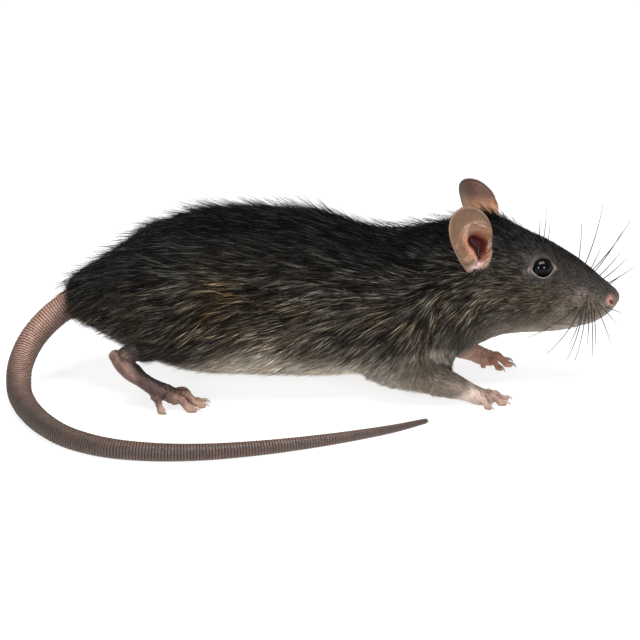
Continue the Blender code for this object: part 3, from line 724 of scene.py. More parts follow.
def point_normals(form: Form) -> np.ndarray:
    """The outward direction at each point: the sum of its faces' directions, weighted by their areas."""
    tris = form.triangles()
    corners = form.points[tris]
    across = np.cross(corners[:, 1] - corners[:, 0], corners[:, 2] - corners[:, 0])
    sums = [np.bincount(tris.ravel(), np.repeat(row, 3), len(form.points)) for row in across.T]
    return unit(np.stack(sums, axis=1))


def hollows(form: Form, rounds: int) -> np.ndarray:
    """How deep each point lies under its softened surroundings, in millimetres; less than 0 on ridges."""
    soft = eased_out(form, np.ones(len(form.points)), rounds)
    return ((soft.points - form.points) * point_normals(form)).sum(axis=1)


def scattered(form: Form, density: np.ndarray, draw: np.random.Generator) -> tuple:
    """Draws places evenly over a surface for the density at its points.

    Args:
        form: the surface.
        density: places a square millimetre, at each point.
        draw: the source of chance.

    Returns:
        The places and the direction outward at each of them.
    """
    tris, normals = form.triangles(), point_normals(form)
    corners = form.points[tris]
    area = np.linalg.norm(np.cross(corners[:, 1] - corners[:, 0], corners[:, 2] - corners[:, 0]), axis=1) / 2
    weight = np.cumsum(area * density[tris].mean(1))
    count = int(weight[-1])
    pick = np.searchsorted(weight, (np.arange(count) + draw.uniform(size=count)) / count * weight[-1])
    pick = np.minimum(pick, len(tris) - 1)
    a, b = draw.uniform(size=(2, count))
    flip = a + b > 1
    a, b = np.where(flip, 1 - a, a), np.where(flip, 1 - b, b)
    share = np.stack([1 - a - b, a, b], axis=1)[..., None]
    return (corners[pick] * share).sum(1), unit((normals[tris[pick]] * share).sum(1))


@dataclass
class Trunk:
    """Rump, loin, back, shoulders, neck, cheeks, muzzle and nose as one row of cross-sections."""

    stations: tuple = (
        (-81.6, 34.6, 26.4, 5.2), (-78.6, 37.2, 24.4, 9.6), (-74, 40.3, 22, 14.8),
        (-68, 44.4, 19, 19.8), (-60, 49.6, 14.4, 24.4), (-50, 55.2, 9.8, 27.8),
        (-39, 59.4, 6.8, 29.2), (-25, 60.8, 5.9, 29.2), (-10, 60.6, 5.2, 28),
        (0, 59.6, 5, 27), (8, 57.2, 5.2, 26), (15, 55.2, 5.6, 25),
        (22, 54.2, 6.2, 24.2), (30, 54.6, 7.2, 22.8), (37, 55.7, 8.6, 20.8),
        (43, 56.8, 10.6, 18.6), (48.5, 57.8, 13.2, 16.6), (54, 58.1, 15.8, 15),
        (59, 57, 17.6, 14), (64, 54.4, 18.3, 13.4), (69, 51.8, 18.5, 12.5),
        (73.5, 49.6, 18.6, 11.3), (78, 47, 18.9, 9.8), (83.5, 43.3, 20.2, 8.5),
        (88, 39.6, 21.4, 7.6), (92, 35.9, 23.5, 6.1), (94.8, 33.5, 25.8, 4.4),
        (96.4, 32, 27.8, 2.7), (97.2, 30.9, 29.2, 1),
    )
    belt: float = 0.43
    upper_power: float = 2.05
    lower_power: float = 2.3
    swellings: tuple = (
        ((64, 13.5, 28), (8, 7), 1),
        ((85.5, 8, 28.5), (5, 4.6), 1.1),
        ((71, 9.5, 46), (5, 3.4), 0.8),
    )
    depth_places: tuple = (-82, -70, -50, 0, 30, 45, 60, 75, 86, 93, 97.2)
    depths: tuple = (1.2, 2.2, 2.6, 2.6, 2.4, 1.9, 1.25, 0.85, 0.5, 0.15, 0)

    def measures(self, x: np.ndarray) -> tuple:
        """Top, bottom and half width of the coated body at places along X."""
        known = np.array(self.stations)
        return tuple(through(known[:, 0], known[:, k], x) for k in (1, 2, 3))

    def coat_depth(self, x: np.ndarray) -> np.ndarray:
        """How deep the skin lies under the coat's face."""
        return through(self.depth_places, self.depths, x)

    def points(self, x: np.ndarray, angle: np.ndarray, grow: np.ndarray) -> np.ndarray:
        """Points of the body at X and at an angle from the top, pushed out by grow.

        A section is a superellipse about its belt line, fuller below than above, and bell-shaped swellings
        push its sides out at the cheek, the whisker pad and the brow.

        Args:
            x: places along X.
            angle: turn from the top, in radians.
            grow: how far the points are pushed out.

        Returns:
            The points.
        """
        top, bottom, half = self.measures(x)
        belt = bottom + self.belt * (top - bottom)
        across, upward = np.sin(angle), np.cos(angle)
        power = 2 / np.where(upward > 0, self.upper_power, self.lower_power)
        reach = np.where(upward > 0, top - belt, belt - bottom) + grow
        y = (half + grow) * np.sign(across) * np.abs(across) ** power
        z = belt + reach * np.sign(upward) * np.abs(upward) ** power
        for (cx, cy, cz), (spread_x, spread_z), height in self.swellings:
            near = bell((x - cx) / spread_x, (z - cz) / spread_z)
            y = y + np.sign(y) * height * near * np.clip(np.abs(y) / cy, 0, 1)
        return np.stack([np.broadcast_to(x, y.shape), y, z], axis=-1)

    def side_reach(self, x: np.ndarray, z: np.ndarray, grow: float = 0.0) -> np.ndarray:
        """Half width of the body at places along X and heights."""
        top, bottom, half = self.measures(x)
        belt = bottom + self.belt * (top - bottom)
        share = np.where(z > belt, (z - belt) / (top + grow - belt), (belt - z) / (belt - bottom + grow))
        power = np.where(z > belt, self.upper_power, self.lower_power)
        y = (half + grow) * (1 - np.clip(share, 0, 1) ** power) ** (1 / power)
        for (cx, cy, cz), (spread_x, spread_z), height in self.swellings:
            near = bell((x - cx) / spread_x, (z - cz) / spread_z)
            y = y + height * near * np.clip(y / cy, 0, 1)
        return y

    def height_share(self, points: np.ndarray) -> np.ndarray:
        """Height between belly, at 0, and back, at 1."""
        top, bottom, _ = self.measures(points[:, 0])
        return np.clip((points[:, 2] - bottom) / (top - bottom), 0, 1)

    def form(self, start: float, end: float, step: float, sides: int) -> Form:
        """The skin's form between two places along X, under a coat that is thinner on the belly."""
        x = np.append(np.arange(start, end, step), end)[:, None]
        angle = turns(sides)[None] * np.ones_like(x)
        thin = 0.35 + 0.65 * ease(np.cos(angle), -0.95, -0.1)
        return closed_tube(self.points(x, angle, -self.coat_depth(x) * thin))


@dataclass
class Digit:
    """A toe or finger: its knuckle, the way it points, in degrees outward, its length and its radius."""

    knuckle: tuple
    outward: float
    length: float
    radius: float
    clawed: bool = True

    def frame_of(self, side: Side, shift: float) -> tuple:
        """The point under the knuckle, and the way that the digit points."""
        outward = math.radians(self.outward) * side.value
        base = np.array([self.knuckle[0] + shift, self.knuckle[1] * side.value, 0.0])
        return base, np.array([math.cos(outward), math.sin(outward), 0.0])

    def line(self, side: Side, shift: float) -> np.ndarray:
        """Points along the digit's middle: level at the knuckle, then down onto its pad."""
        base, way = self.frame_of(side, shift)
        pad = self.radius * 0.72
        heights = np.array([self.knuckle[2], self.knuckle[2] + 0.35, pad + 0.75, pad, pad - 0.12])
        shares = np.array([-0.12, 0.32, 0.66, 0.86, 1.0]) * self.length
        return base + shares[:, None] * way + heights[:, None] * (0.0, 0.0, 1.0)

    def form(self, side: Side, shift: float) -> Form:
        """The digit as a tube that swells at its joints and its pad, with creases across it."""
        points = self.line(side, shift)
        run = path_run(points)
        s = np.linspace(0, run[-1], 40)
        wide = through(run, np.array([1.05, 1.15, 1.05, 1.25, 0.9]) * self.radius, s)
        share = s / run[-1]
        for place, depth in ((0.2, 0.05), (0.3, 0.04), (0.46, 0.05), (0.56, 0.05), (0.68, 0.04)):
            wide = wide - depth * self.radius * bell((share - place) / 0.022)
        wide = wide + 0.07 * self.radius * bell((share - 0.38) / 0.07)
        return carried(through(run, points, s), wide * 0.97, wide, 60, 28)

    def claw(self, side: Side, shift: float, length: float, radius: float) -> tuple:
        """The claw as a curved cone, and the share of its length at each point.

        Args:
            side: the body's side.
            shift: how far the leg stands forward.
            length: the claw's length.
            radius: its radius at the root.

        Returns:
            The form and the share along it.
        """
        _, way = self.frame_of(side, shift)
        tip = self.line(side, shift)[-1] + (0, 0, 0.45)
        ahead = np.array([-1.0, 0.3, 1.4, 2.3]) * length / 2.3
        up = np.array([0.15, 0.25, -0.12, -0.95])
        points = tip + ahead[:, None] * way + up[:, None] * (0.0, 0.0, 1.0)
        points[-1, 2] = max(points[-1, 2], 0.12)
        wide = np.array([0.8, 0.9, 0.62, 0.1]) * radius
        made = carried(points, wide * 0.85, wide * 1.15, 18, 12)
        share = np.clip((made.points - points[0]) @ way / (length * 1.4), 0, 1)
        return made, share


@dataclass
class Legs:
    """Haunches, shanks and hind feet, upper arms, forearms and fore paws."""

    hind_shift: dict = field(default_factory=lambda: {Side.RIGHT: 0.0, Side.LEFT: 4.0})
    fore_shift: dict = field(default_factory=lambda: {Side.RIGHT: 0.0, Side.LEFT: 3.2})
    thigh: tuple = ((-48, 19.4, 31.6), (21.5, 11.4, 15.5), -48, 2)
    shoulder: tuple = ((27, 16.4, 24), (18, 8.2, 10.5), 62, 4)
    brisket: tuple = (
        ((30.5, 12.5, 12.8), (13, 9, 7.4), 6, -4),
        ((34.5, 16.5, 11), (7.5, 5.6, 5.4), -26, 0),
    )
    shank: tuple = (
        ((-44, 22.6, 22), (-51, 24.4, 21.2), (-57, 25.6, 20.2), (-61.8, 25.9, 18.6)),
        (5, 4.4, 3.6, 2.7),
        (5.2, 4.4, 3.8, 2.8),
    )
    sole: tuple = (
        (
            (-65.2, 25.6, 18.2), (-63, 25.8, 15.8), (-59.9, 26, 12.9), (-56.6, 26, 10.2),
            (-52, 25.4, 6.9), (-48.4, 24.5, 5.3), (-46.2, 24, 4.6),
        ),
        (2.2, 2.7, 2.9, 3, 3.6, 4.1, 3.7),
        (2, 2.9, 3.1, 2.5, 2.7, 2.4, 1.8),
    )
    forearm: tuple = (
        (
            (17.5, 18.4, 12.4), (23, 19.6, 12.2), (30, 20.4, 10.8),
            (37, 20.9, 8.4), (43.5, 20.6, 6), (47.4, 20.3, 4.3),
        ),
        (5.6, 6.6, 6.2, 5, 3.9, 3.2),
        (7, 7.8, 7, 5.6, 4.4, 3.4),
    )
    palm: tuple = (
        ((47.9, 20.3, 4.1), (50.4, 20.1, 2.9), (53.6, 19.6, 2.1)),
        (3.2, 3.8, 3.9),
        (3.2, 2.9, 2.4),
    )
    toes: tuple = (
        Digit((-50.4, 21.2, 4.9), -18.0, 4.6, 1.0),
        Digit((-46.8, 21.6, 4.5), -11.0, 9.6, 1.1),
        Digit((-46.0, 23.9, 4.3), -2.0, 8.5, 1.2),
        Digit((-47.0, 26.4, 3.8), 12.0, 7.1, 1.25),
        Digit((-52.8, 26.4, 4.4), 50.0, 4.4, 1.1),
    )
    fingers: tuple = (
        Digit((53.2, 17.3, 2.3), -50.0, 5.4, 0.95),
        Digit((54.4, 18.9, 2.6), -20.0, 6.0, 1.0),
        Digit((54.0, 20.9, 2.5), 6.0, 5.2, 1.05),
        Digit((51.4, 22.6, 2.3), 45.0, 4.0, 1.0),
        Digit((50.0, 17.4, 2.0), -52.0, 2.2, 0.8, clawed=False),
    )
    claw_length: float = 2.3
    claw_radius: float = 0.56

    def shift(self, limb: Limb, side: Side) -> float:
        """How far this leg stands forward."""
        return (self.hind_shift if limb is Limb.HIND else self.fore_shift)[side]

    def placed(self, points, limb: Limb, side: Side) -> np.ndarray:
        """Points given for the left side, set on one side and moved forward."""
        return np.asarray(points, float) * side.flip + (self.shift(limb, side), 0, 0)

    def reach(self, points: np.ndarray, part: tuple, limb: Limb, side: Side) -> tuple:
        """Distance from a part of a leg over its depth, with its direction and the share of its run."""
        return path_distance(points, self.placed(part[0], limb, side), part[2])

    def digits(self, limb: Limb) -> tuple:
        """The digits of a hind foot or a fore paw."""
        return self.toes if limb is Limb.HIND else self.fingers

    def upper_forms(self) -> list:
        """The ovals of haunches, upper arms and brisket, and the forearms, under the coat."""
        made = []
        for side in Side:
            ovals = [(self.thigh, Limb.HIND, 2.3), (self.shoulder, Limb.FORE, 2.1)]
            ovals += [(swell, Limb.FORE, 0.0) for swell in self.brisket]
            for (centre, radii, lean, turn), limb, depth in ovals:
                radii = np.array(radii) - depth
                made.append(oval(self.placed(centre, limb, side), radii, lean, turn * side.value))
            made.insert(-2, self.tube(self.forearm, Limb.FORE, side, (1.4, 1.1, 0.8, 0.5, 0.3, 0.2), 60, 40))
        return made

    def tube(self, part: tuple, limb: Limb, side: Side, under, rings: int = 70, sides: int = 48) -> Form:
        """A part of a leg as a tube, by under thinner than its coated measures."""
        wide, deep = (np.array(half) - under for half in part[1:])
        return carried(self.placed(part[0], limb, side), wide, deep, rings, sides)

    def lower_forms(self) -> list:
        """Shanks, soles, forearms, palms and digits, as far under the coat as it is thick there."""
        made = []
        for side in Side:
            parts = (
                (self.shank, Limb.HIND, (1.3, 0.9, 0.35, 0.15)),
                (self.sole, Limb.HIND, (0.1, 0.08, 0.05, 0.05, 0.03, 0.0, 0.0)),
                ([part[3:] for part in self.forearm], Limb.FORE, (0.7, 0.4, 0.2)),
                (self.palm, Limb.FORE, (0.2, 0.05, 0.0)),
            )
            made.extend(self.tube(part, limb, side, under) for part, limb, under in parts)
            for limb in Limb:
                made.extend(d.form(side, self.shift(limb, side)) for d in self.digits(limb))
        return made

    def foot_share(self, points: np.ndarray) -> np.ndarray:
        """1 on the bare feet, easing to 0 where the coat of the leg begins."""
        x, y, z = points.T
        bare = np.zeros(len(points))
        for side in Side:
            reach, _, _ = self.reach(points, self.sole, Limb.HIND, side)
            hind = fade(reach, 1.5, 2) * fade(z, 19.5, 22.5)
            toes = fade(z, 6, 8) * ease(x, -60, -55) * fade(x, -30, -28)
            toes = toes * ease(np.abs(y), 15, 17)
            oblique = x - self.shift(Limb.FORE, side) - 1.5 * np.clip(z - 3.0, -2.0, 3.4)
            fore = ease(oblique, 41, 45.5) * fade(z, 8.5, 10)
            bare = np.where(side.out(points) > 0, np.maximum(np.maximum(hind, toes), fore), bare)
        return np.clip(bare, 0, 1)


@dataclass
class Eye:
    """An eye, a sphere, and its lids, a ring that rises from its face and runs out into the skin."""

    trunk: Trunk
    centre: tuple = (71, 8.3, 42.2)
    radius: float = 3.7
    looks: tuple = (0.2, 0.94, 0.27)
    opening: float = 3.2
    reach: float = 4.25
    inner_corners: tuple = (0.5, 0.25)
    outer_corners: tuple = (1.3, 0.8)
    lid_depth: float = 1.6

    def axes(self) -> tuple:
        """Directions of the look, forward along the face and up, on the left side."""
        look = unit(np.array(self.looks))
        forward = unit(np.array([1.0, 0.0, 0.0]) - look[0] * look)
        return look, forward, np.cross(forward, look) * -1

    def ball(self, side: Side) -> Form:
        """The eyeball."""
        made = oval(np.array(self.centre), (self.radius,) * 3, 0.0, 0.0, 72, 96)
        return (made if side is Side.LEFT else made.mirrored()).turned_out()

    def lids(self, side: Side) -> tuple:
        """The lids of one eye.

        The opening is a circle drawn out to a point at each corner. Across the lid the surface climbs from
        the ball over a rolled rim and falls to just under the skin.

        Returns:
            The form and the share from the rim, at 0, to the outer edge, at 1, at each point.
        """
        look, forward, up = self.axes()
        up = up if up[2] > 0 else -up
        around = np.linspace(0, 2 * math.pi, 121)[:-1]
        share = np.concatenate([[-0.16, -0.08], np.linspace(0, 1, 26)])
        front = bell(np.angle(np.exp(1j * (around + 0.1))) / 0.3)
        rear = bell(np.angle(np.exp(1j * (around - math.pi - 0.2))) / 0.3)
        inner = self.opening + self.inner_corners[0] * front + self.inner_corners[1] * rear
        inner = inner - 0.16 * np.sin(around) ** 2
        outer = self.reach + self.outer_corners[0] * front + self.outer_corners[1] * rear
        r = inner[None] + share[:, None] * (outer - inner)[None]
        flat = np.cos(around)[None, :, None] * forward + np.sin(around)[None, :, None] * up
        plane = np.array(self.centre) + r[..., None] * flat
        height = np.full(r.shape, 1.5)
        for _ in range(8):
            at = plane + height[..., None] * look
            height += (self.trunk.side_reach(at[..., 0], at[..., 2], 0.0) - 0.75 - at[..., 1]) / look[1] * 0.8
        on_ball = np.sqrt(np.maximum(self.radius**2 - np.minimum(r, 3.55) ** 2, 0.0))
        t = np.clip(share, 0, 1)[:, None]
        rim = on_ball[2][None] + 0.1 + 0.3 * bell((t - 0.15) / 0.13) - 0.12 * bell((t - 0.4) / 0.07)
        raised = rim * fade(t, 0.2, 0.85) + (height - 0.25 * ease(t, 0.75, 1)) * ease(t, 0.2, 0.85)
        raised[0], raised[1] = on_ball[0] - 0.9, on_ball[1] - 0.25
        top = plane + raised[..., None] * look
        under = plane[::-1] + (np.minimum(raised[::-1], height[::-1]) - self.lid_depth)[..., None] * look
        rings = np.concatenate([top, under[:1] * 0.5 + top[-1:] * 0.5 - look * 0.3, under[2:-4:8]])
        count, sides = rings.shape[:2]
        made = Form(rings.reshape(-1, 3), ring_quads(count, count, sides))
        shares = np.append(np.clip(share, 0, 1), np.ones(count - len(share)))
        made = made if side is Side.LEFT else made.mirrored()
        return made.turned_out(), np.repeat(shares, sides)

class Paint:
    """Colours of many places, laid one over the other."""

    def __init__(self, shape: tuple, tint: tuple) -> None:
        """Starts from one tint everywhere."""
        self.colours = np.broadcast_to(linear(tint), (*shape, 3))

    def lay(self, tint: tuple, amount: np.ndarray) -> None:
        """Lays a tint over what is there, as much of it as the amount at each place says."""
        self.colours = blend(self.colours, linear(tint), amount)


@dataclass
class Ear:
    """An ear: a cupped inner face and a domed outer face that meet in a rolled rim."""

    side: Side
    edge: float = 0.6
    root_thickness: float = 4.4
    middle: tuple = (1.3, 9)
    rim: tuple = (
        (1.8, 21.6), (4.3, 20.4), (6, 18.4), (7.1, 16.2), (7.5, 13.8), (7.3, 11.2), (7, 8.6),
        (6.6, 6), (5.8, 3.4), (5, 0.8), (3.4, -0.9), (1.3, -1.4), (-0.9, -0.5), (-2.8, 2.2),
        (-4.3, 5.4), (-5.4, 8.8), (-6.3, 12.2), (-6.6, 15.2), (-6.2, 17.9), (-4.6, 20.3),
        (-1.6, 21.7),
    )
    roots: tuple = ((49.1, 15.4, 43.1), (54.4, 14.4, 44))
    ups: tuple = ((-0.17, 0.08, 0.98), (-0.27, 0.11, 0.957))
    faces: tuple = ((0.36, 0.93, -0.04), (0.64, 0.76, -0.04))
    fringe_count: int = 90
    fold: tuple = ((0.9, 14.6), (-0.2, 12.6), (-0.6, 10.4), (-0.1, 8.2), (0.8, 6.2), (1.6, 4.2), (1.7, 2.6))
    opening: tuple = ((2.6, 9), (4, 7.6), (3.8, 5.6), (3.1, 3.9), (2.7, 2.4))
    front: tuple = ((7, 11.5), (6.9, 8.5), (6.1, 5.8), (4.9, 3.2))
    lobe: tuple = ((-4.3, 10), (-3.2, 7.2), (-2, 5.2), (-0.8, 4.6))

    def axes(self) -> tuple:
        """Root, forward, up and facing directions, for the left side."""
        pick = 0 if self.side is Side.RIGHT else 1
        up = unit(np.array(self.ups[pick]))
        faces = np.array(self.faces[pick])
        faces = unit(faces - np.dot(faces, up) * up)
        return np.array(self.roots[pick]), -np.cross(up, faces), up, faces

    @staticmethod
    def near(a: np.ndarray, u: np.ndarray, knots: tuple, radii, power: float = 2.0) -> np.ndarray:
        """A bell of the distance from a bent line in the ear's plane, flatter for a higher power."""
        flat = np.stack([a.ravel(), u.ravel(), np.zeros(a.size)], axis=1)
        line = np.array([(x, y, 0.0) for x, y in knots])
        reach, _, _ = path_distance(flat, line, np.broadcast_to(radii, len(line)))
        return np.exp(-(reach**power)).reshape(a.shape)

    def depth(self, a: np.ndarray, u: np.ndarray) -> np.ndarray:
        """How far the inner face lies behind the rim plane.

        A wide bowl and the deep hollow of the opening are bell-shaped pits; the long fold behind the
        opening, the arcs above it, the rolled lobe of the rear rim and the front edge are ridges.

        Args:
            a: places forward in the ear's plane.
            u: places upward in it.

        Returns:
            The depth, in millimetres.
        """
        bowl = 1.6 * bell((a - 1.2) / 4.6, (u - 11.5) / 7)
        hollow = 3.2 * self.near(a, u, self.opening, (2.2, 2.7, 1.9, 1.15, 0.8), 3.0)
        far = np.hypot(a - 3.3, u - 9.2)
        arcs = sum(0.16 * bell((far - r) / 0.38) for r in (4.3, 5.4, 6.6)) * ease(u, 10.5, 12.5)
        crease = 0.35 * self.near(a, u, ((2.8, 15.6), (6.3, 13.2)), 0.5)
        fold = 0.85 * self.near(a, u, self.fold, 0.85)
        lobe = 1.0 * self.near(a, u, self.lobe, (1.2, 1.3, 1.4, 1.4), 4.0)
        edge = 0.8 * self.near(a, u, self.front, 1.1)
        sunk = 1.7 * fade(u, -0.5, 3.2)
        return bowl + hollow + sunk - 0.036 * (a - 0.8) ** 2 - fold - arcs - crease - lobe - edge

    def rim_line(self, count: int) -> tuple:
        """The rim: its reach from the middle is a smooth closed curve of the turn about it."""
        knots = np.array(self.rim) - self.middle
        turn, reach = np.arctan2(knots[:, 0], knots[:, 1]), np.hypot(knots[:, 0], knots[:, 1])
        order = np.argsort(turn)
        turn, reach = turn[order], reach[order]
        around = np.linspace(-math.pi, math.pi, count + 1)[:-1]
        whole = 2 * math.pi
        r = through(np.concatenate([turn - whole, turn, turn + whole]), np.tile(reach, 3), around)
        return self.middle[0] + r * np.sin(around), self.middle[1] + r * np.cos(around)

    def place(self, a: np.ndarray, u: np.ndarray, out: np.ndarray) -> np.ndarray:
        """Points of the body's frame for places in the ear's plane and heights over it."""
        root, forward, up, faces = self.axes()
        made = root + a[..., None] * forward + u[..., None] * up + out[..., None] * faces
        return made * self.side.flip

    def build(self) -> tuple:
        """The ear's form and the painted colour of each of its points."""
        rim_a, rim_u = self.rim_line(150)
        share = np.concatenate([np.linspace(0.02, 0.9, 50), np.linspace(0.915, 1.0, 8)])[:, None]
        a = self.middle[0] + share * (rim_a - self.middle[0])
        u = self.middle[1] + share * (rim_u - self.middle[1])
        inner = -self.depth(a, u) + 0.14 * bell((share - 0.955) / 0.03)
        low = np.clip(1 - u / 9.0, 0, 1)
        root = (self.root_thickness - self.edge) * low**1.3 * (1 - 0.6 * share)
        thick = self.edge + 0.5 * (1 - share) + root
        swell = 2.0 * bell((a - 1) / 4, (u - 6) / 4.5)
        smooth_back = 0.036 * (a - 0.8) ** 2 - 1.2 * bell((a - 1.2) / 4.6, (u - 11.5) / 7)
        outer = np.minimum(smooth_back - thick - swell * (1 - share), inner - 0.35)
        outer = outer * ease(share, 1, 0.8) + (inner - self.edge) * fade(share, 1, 0.8)
        bow = np.radians([25, 55, 90, 125, 155])[:, None]
        middle, half = (inner[-1] + outer[-1]) / 2, (inner[-1] - outer[-1]) / 2
        out = unit(np.stack([rim_a - self.middle[0], rim_u - self.middle[1]], axis=-1))
        across = np.concatenate([a, rim_a + out[:, 0] * np.minimum(half, 0.35) * np.sin(bow), a[::-1]])
        upward = np.concatenate([u, rim_u + out[:, 1] * np.minimum(half, 0.35) * np.sin(bow), u[::-1]])
        depth = np.concatenate([inner, middle + half * np.cos(bow), outer[::-1]])
        made = closed_tube(self.place(across, upward, depth))
        inside = np.concatenate([np.ones(len(a)), np.linspace(1, 0, len(bow)), np.zeros(len(a))])
        shares = np.concatenate([share[:, 0], np.ones(len(bow)), share[::-1, 0]])
        colour = self.colour(across, upward, inside[:, None], shares[:, None]).reshape(-1, 3)
        count = len(rim_a)
        poles = np.stack([colour[:count].mean(0), colour[-count:].mean(0)])
        return made, np.concatenate([colour, poles])

    def colour(self, a: np.ndarray, u: np.ndarray, inside: np.ndarray, share: np.ndarray) -> np.ndarray:
        """Tan skin, warmer folds with painted highlights on their crests and arcs, reddish painted shade above the
        opening, the opening dark red from painted shade, a pale pink lobe under it and a thin painted highlight
        along the rim.

        Args:
            a: places forward in the ear's plane.
            u: places upward in it.
            inside: 1 on the inner face, 0 on the outer one.
            share: 0 in the middle, 1 on the rim.

        Returns:
            The colours, as linear light.
        """
        paint = Paint(a.shape, (124, 96, 73))
        lay = paint.lay
        far = np.hypot(a - 3.3, u - 9.2)
        lay((100, 76, 60), 0.6 * ease(u, 15, 21))
        lay((118, 90, 68), 0.7 * bell((share - 0.78) / 0.14) * (a < 1.5))
        # Painted highlights on the arcs and on the top of the fold.
        lay((176, 142, 126), 0.5 * sum(bell((far - r) / 0.5) for r in (4.3, 5.4, 6.6)) * ease(u, 10.5, 12.5))
        lay((166, 136, 122), 0.7 * self.near(a, u, ((-0.2, 14.6), (0.4, 12.2)), 0.8))
        # Painted shade, reddish, above the opening.
        lay((138, 62, 50), 0.85 * bell((a - 3.4) / 3.2, (u - 10.8) / 1.7))
        # The fold's own orange-pink, lightened along its crest as a painted highlight.
        inner_fold = ((-0.8, 12.4), (-0.9, 10.2), (-0.3, 8.0), (0.7, 5.8), (1.5, 3.8))
        lay((186, 130, 104), 0.9 * self.near(a, u, inner_fold, 0.85))
        lay((176, 128, 90), 0.8 * self.near(a, u, self.front, 1.5))
        lay((150, 78, 66), 0.7 * self.near(a, u, ((5.4, 6.0), (4.4, 3.4), (3.4, 1.4)), 0.9))
        under = np.exp(-((np.abs((a - 2.6) / 4.0)) ** 3) - (np.abs((u - 0.1) / 2.2)) ** 3)
        lay((232, 200, 192), np.clip(1.1 * under, 0, 1))
        lay((150, 118, 92), 0.9 * self.near(a, u, self.lobe, (1.2, 1.3, 1.4, 1.4), 6.0) * (u < 6.0))
        # The red of the opening, darkened almost to black as painted shade in the hollow.
        lay((70, 2, 4), self.near(a, u, self.opening, (2.1, 2.6, 1.8, 0.95, 0.62), 7.0))
        # Painted highlight along the rolled rim.
        lay((150, 124, 108), 0.5 * ease(share * np.ones_like(a), 0.965, 1))
        lay((104, 74, 52), 0.75 * ease(a, 5.4, 7.4) * ease(u, 3, 6))
        back = blend(linear((190, 142, 108)), linear((98, 72, 60)), ease(u + 0.25 * a, 12, 18))
        return blend(back * (1 - 0.3 * ease(-a, 2.5, 5.5))[..., None], paint.colours, inside) * 0.66

    def down(self) -> "TuftSet":
        """The pale fringe on the front edge, which leans over the opening.

        Returns:
            The tufts.
        """
        draw = np.random.default_rng(61 + self.side.value)
        _, forward, up, faces = self.axes()
        count = self.fringe_count
        t = draw.uniform(0, 1, count) ** 0.6
        line = np.array(((7.3, 10.4), (7.0, 7.6), (6.3, 5.0), (5.4, 2.6), (4.6, 0.6)))
        at = through(np.linspace(0, 1, len(line)), line, t) + draw.normal(0, 0.3, (count, 2))
        roots = self.place(at[:, 0], at[:, 1], -self.depth(at[:, 0], at[:, 1]))
        way = -forward * 0.9 - up * 0.45 + faces * 0.3 + 0.22 * draw.normal(size=(count, 3))
        is_pale = draw.uniform(size=count)[:, None] < 0.7
        tone = np.where(is_pale, linear((186, 160, 142)), linear((60, 48, 42)))
        return TuftSet(
            roots,
            np.broadcast_to(faces * self.side.flip, (count, 3)),
            unit(way * self.side.flip),
            draw.uniform(1.6, 3.4, count),
            np.full(count, 0.11),
            np.radians(draw.uniform(5, 20, count)),
            np.repeat(tone[:, None], 3, axis=1),
            np.stack([0.05 + 0.9 * t, np.full(count, 0.5)], axis=1),
            np.full(count, 0.5),
        )


